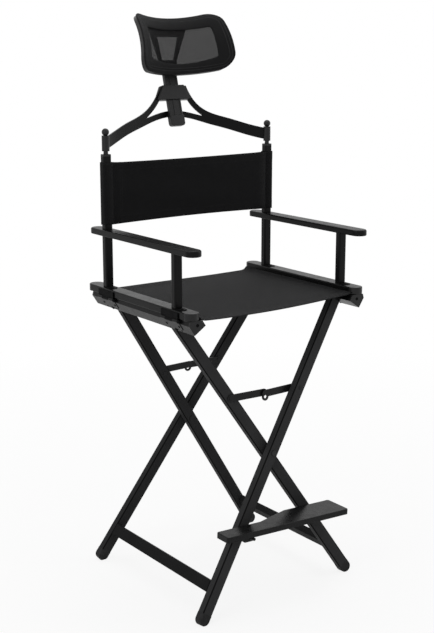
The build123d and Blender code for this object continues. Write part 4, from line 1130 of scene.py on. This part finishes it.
leaf_middle_down = (leaf_low + leaf_high) / 2
leaf_half_down = (leaf_low - leaf_high) / 2
for side, body_name, label in ((-1, "inner_frame", "left"), (1, "outer_frame", "right")):
    outward = Vector((side * bar_face_out.x, 0, bar_face_out.z))
    for hinge_middle, end_label in ((hinge_middle_front, "front"), (hinge_middle_rear, "rear")):
        leaf_line = []
        for corner_y, corner_down, start in ((1, 1, 0), (-1, 1, 90), (-1, -1, 180), (1, -1, 270)):
            arc_along = corner_y * (hinge_leaf_half - leaf_corner)
            arc_down = leaf_middle_down + corner_down * (leaf_half_down - leaf_corner)
            for ahead, below in corner_arc(start, leaf_corner_steps):
                along = arc_along + leaf_corner * ahead
                down = arc_down + leaf_corner * below
                leaf_line.append(face_place(side, hinge_middle + along, down, 0.0))
        leaf_form = raised_plate(leaf_line, outward * leaf_thickness, leaf_rim)
        end_name = end_label + "_" + label
        leaf_piece = mesh_object("hinge_leaf_" + end_name, leaf_form, tube_coat, smooth=False)
        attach(leaf_piece, body_name)
        boss_form = bmesh.new()
        for offset in rivet_offsets:
            rivet_foot = face_place(side, hinge_middle + offset, rivet_down, leaf_thickness)
            add_turned(boss_form, rivet_head, rivet_foot, outward)
        boss_foot = face_place(side, hinge_middle + boss_offset, boss_down, 0.0)
        add_turned(boss_form, hollow_boss, boss_foot, outward)
        for offset in small_rivet_offsets:
            rivet_foot = face_place(side, hinge_middle + offset, small_rivet_down, 0.0)
            add_turned(boss_form, small_rivet_head, rivet_foot, outward)
        boss_piece = mesh_object("leg_boss_" + end_name, boss_form, stained_steel)
        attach(boss_piece, body_name)

# Post feet: each post stands in a thin black ferrule plate that reaches a little forward, where
# one countersunk screw holds it down on the rail.
plate_half = 0.0105
plate_ahead = 0.0235
plate_behind = 0.0015
plate_thickness = 0.0014
plate_corner = 0.0085
plate_corner_steps = 6
plate_rim = 0.0004
screw_ahead = 0.0125
sunk_screw = [
    (0.0, 0.0001), (0.0011, 0.0001), (0.0014, 0.0011), (0.0030, 0.0011), (0.0037, 0.0007),
    (0.0040, 0.0),
]
rail_top_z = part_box("rail_left")[1][2]
for post_name, body_name in (
    ("post_front_left", "side_left"),
    ("post_back_left", "side_left"),
    ("post_front_right", "side_right"),
    ("post_back_right", "side_right"),
):
    foot_low, foot_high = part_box(post_name)
    foot_x = (foot_low[0] + foot_high[0]) / 2
    foot_y = foot_low[1]
    plate_back_y = foot_y + plate_behind
    plate_line = [
        (foot_x + plate_half, plate_back_y, rail_top_z),
        (foot_x - plate_half, plate_back_y, rail_top_z),
    ]
    arc_y = foot_y - plate_ahead + plate_corner
    for corner_x, start in ((-1, 180), (1, 270)):
        arc_x = foot_x + corner_x * (plate_half - plate_corner)
        for across, ahead in corner_arc(start, plate_corner_steps):
            x = arc_x + plate_corner * across
            y = arc_y + plate_corner * ahead
            plate_line.append((x, y, rail_top_z))
    plate_form = raised_plate(plate_line, (0, 0, plate_thickness), plate_rim)
    plate_name = "foot_plate_" + post_name
    plate_piece = mesh_object(plate_name, plate_form, stained_steel, smooth=False)
    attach(plate_piece, body_name)
    screw_form = bmesh.new()
    screw_foot = Vector((foot_x, foot_y - screw_ahead, rail_top_z + plate_thickness))
    add_turned(screw_form, sunk_screw, screw_foot, Vector((0, 0, 1)))
    screw_piece = mesh_object("foot_screw_" + post_name, screw_form, stained_steel)
    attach(screw_piece, body_name)

# Bar end screws: the moulded cap in each end of the top bars is held by one screw, sunk into
# the middle of the cap.
bar_screw_x = 0.2448
bar_screw_z = 0.7412
for bar_name, body_name, side in (
    ("bar_caps_left", "inner_frame", -1),
    ("bar_caps_right", "outer_frame", 1),
):
    cap_low, cap_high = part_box(bar_name)
    end_form = bmesh.new()
    for end_y, facing in ((cap_low[1], -1), (cap_high[1], 1)):
        screw_foot = Vector((side * bar_screw_x, end_y, bar_screw_z))
        add_turned(end_form, sunk_screw, screw_foot, Vector((0, facing, 0)))
    end_piece = mesh_object("bar_end_screws_" + bar_name, end_form, stained_steel)
    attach(end_piece, body_name)
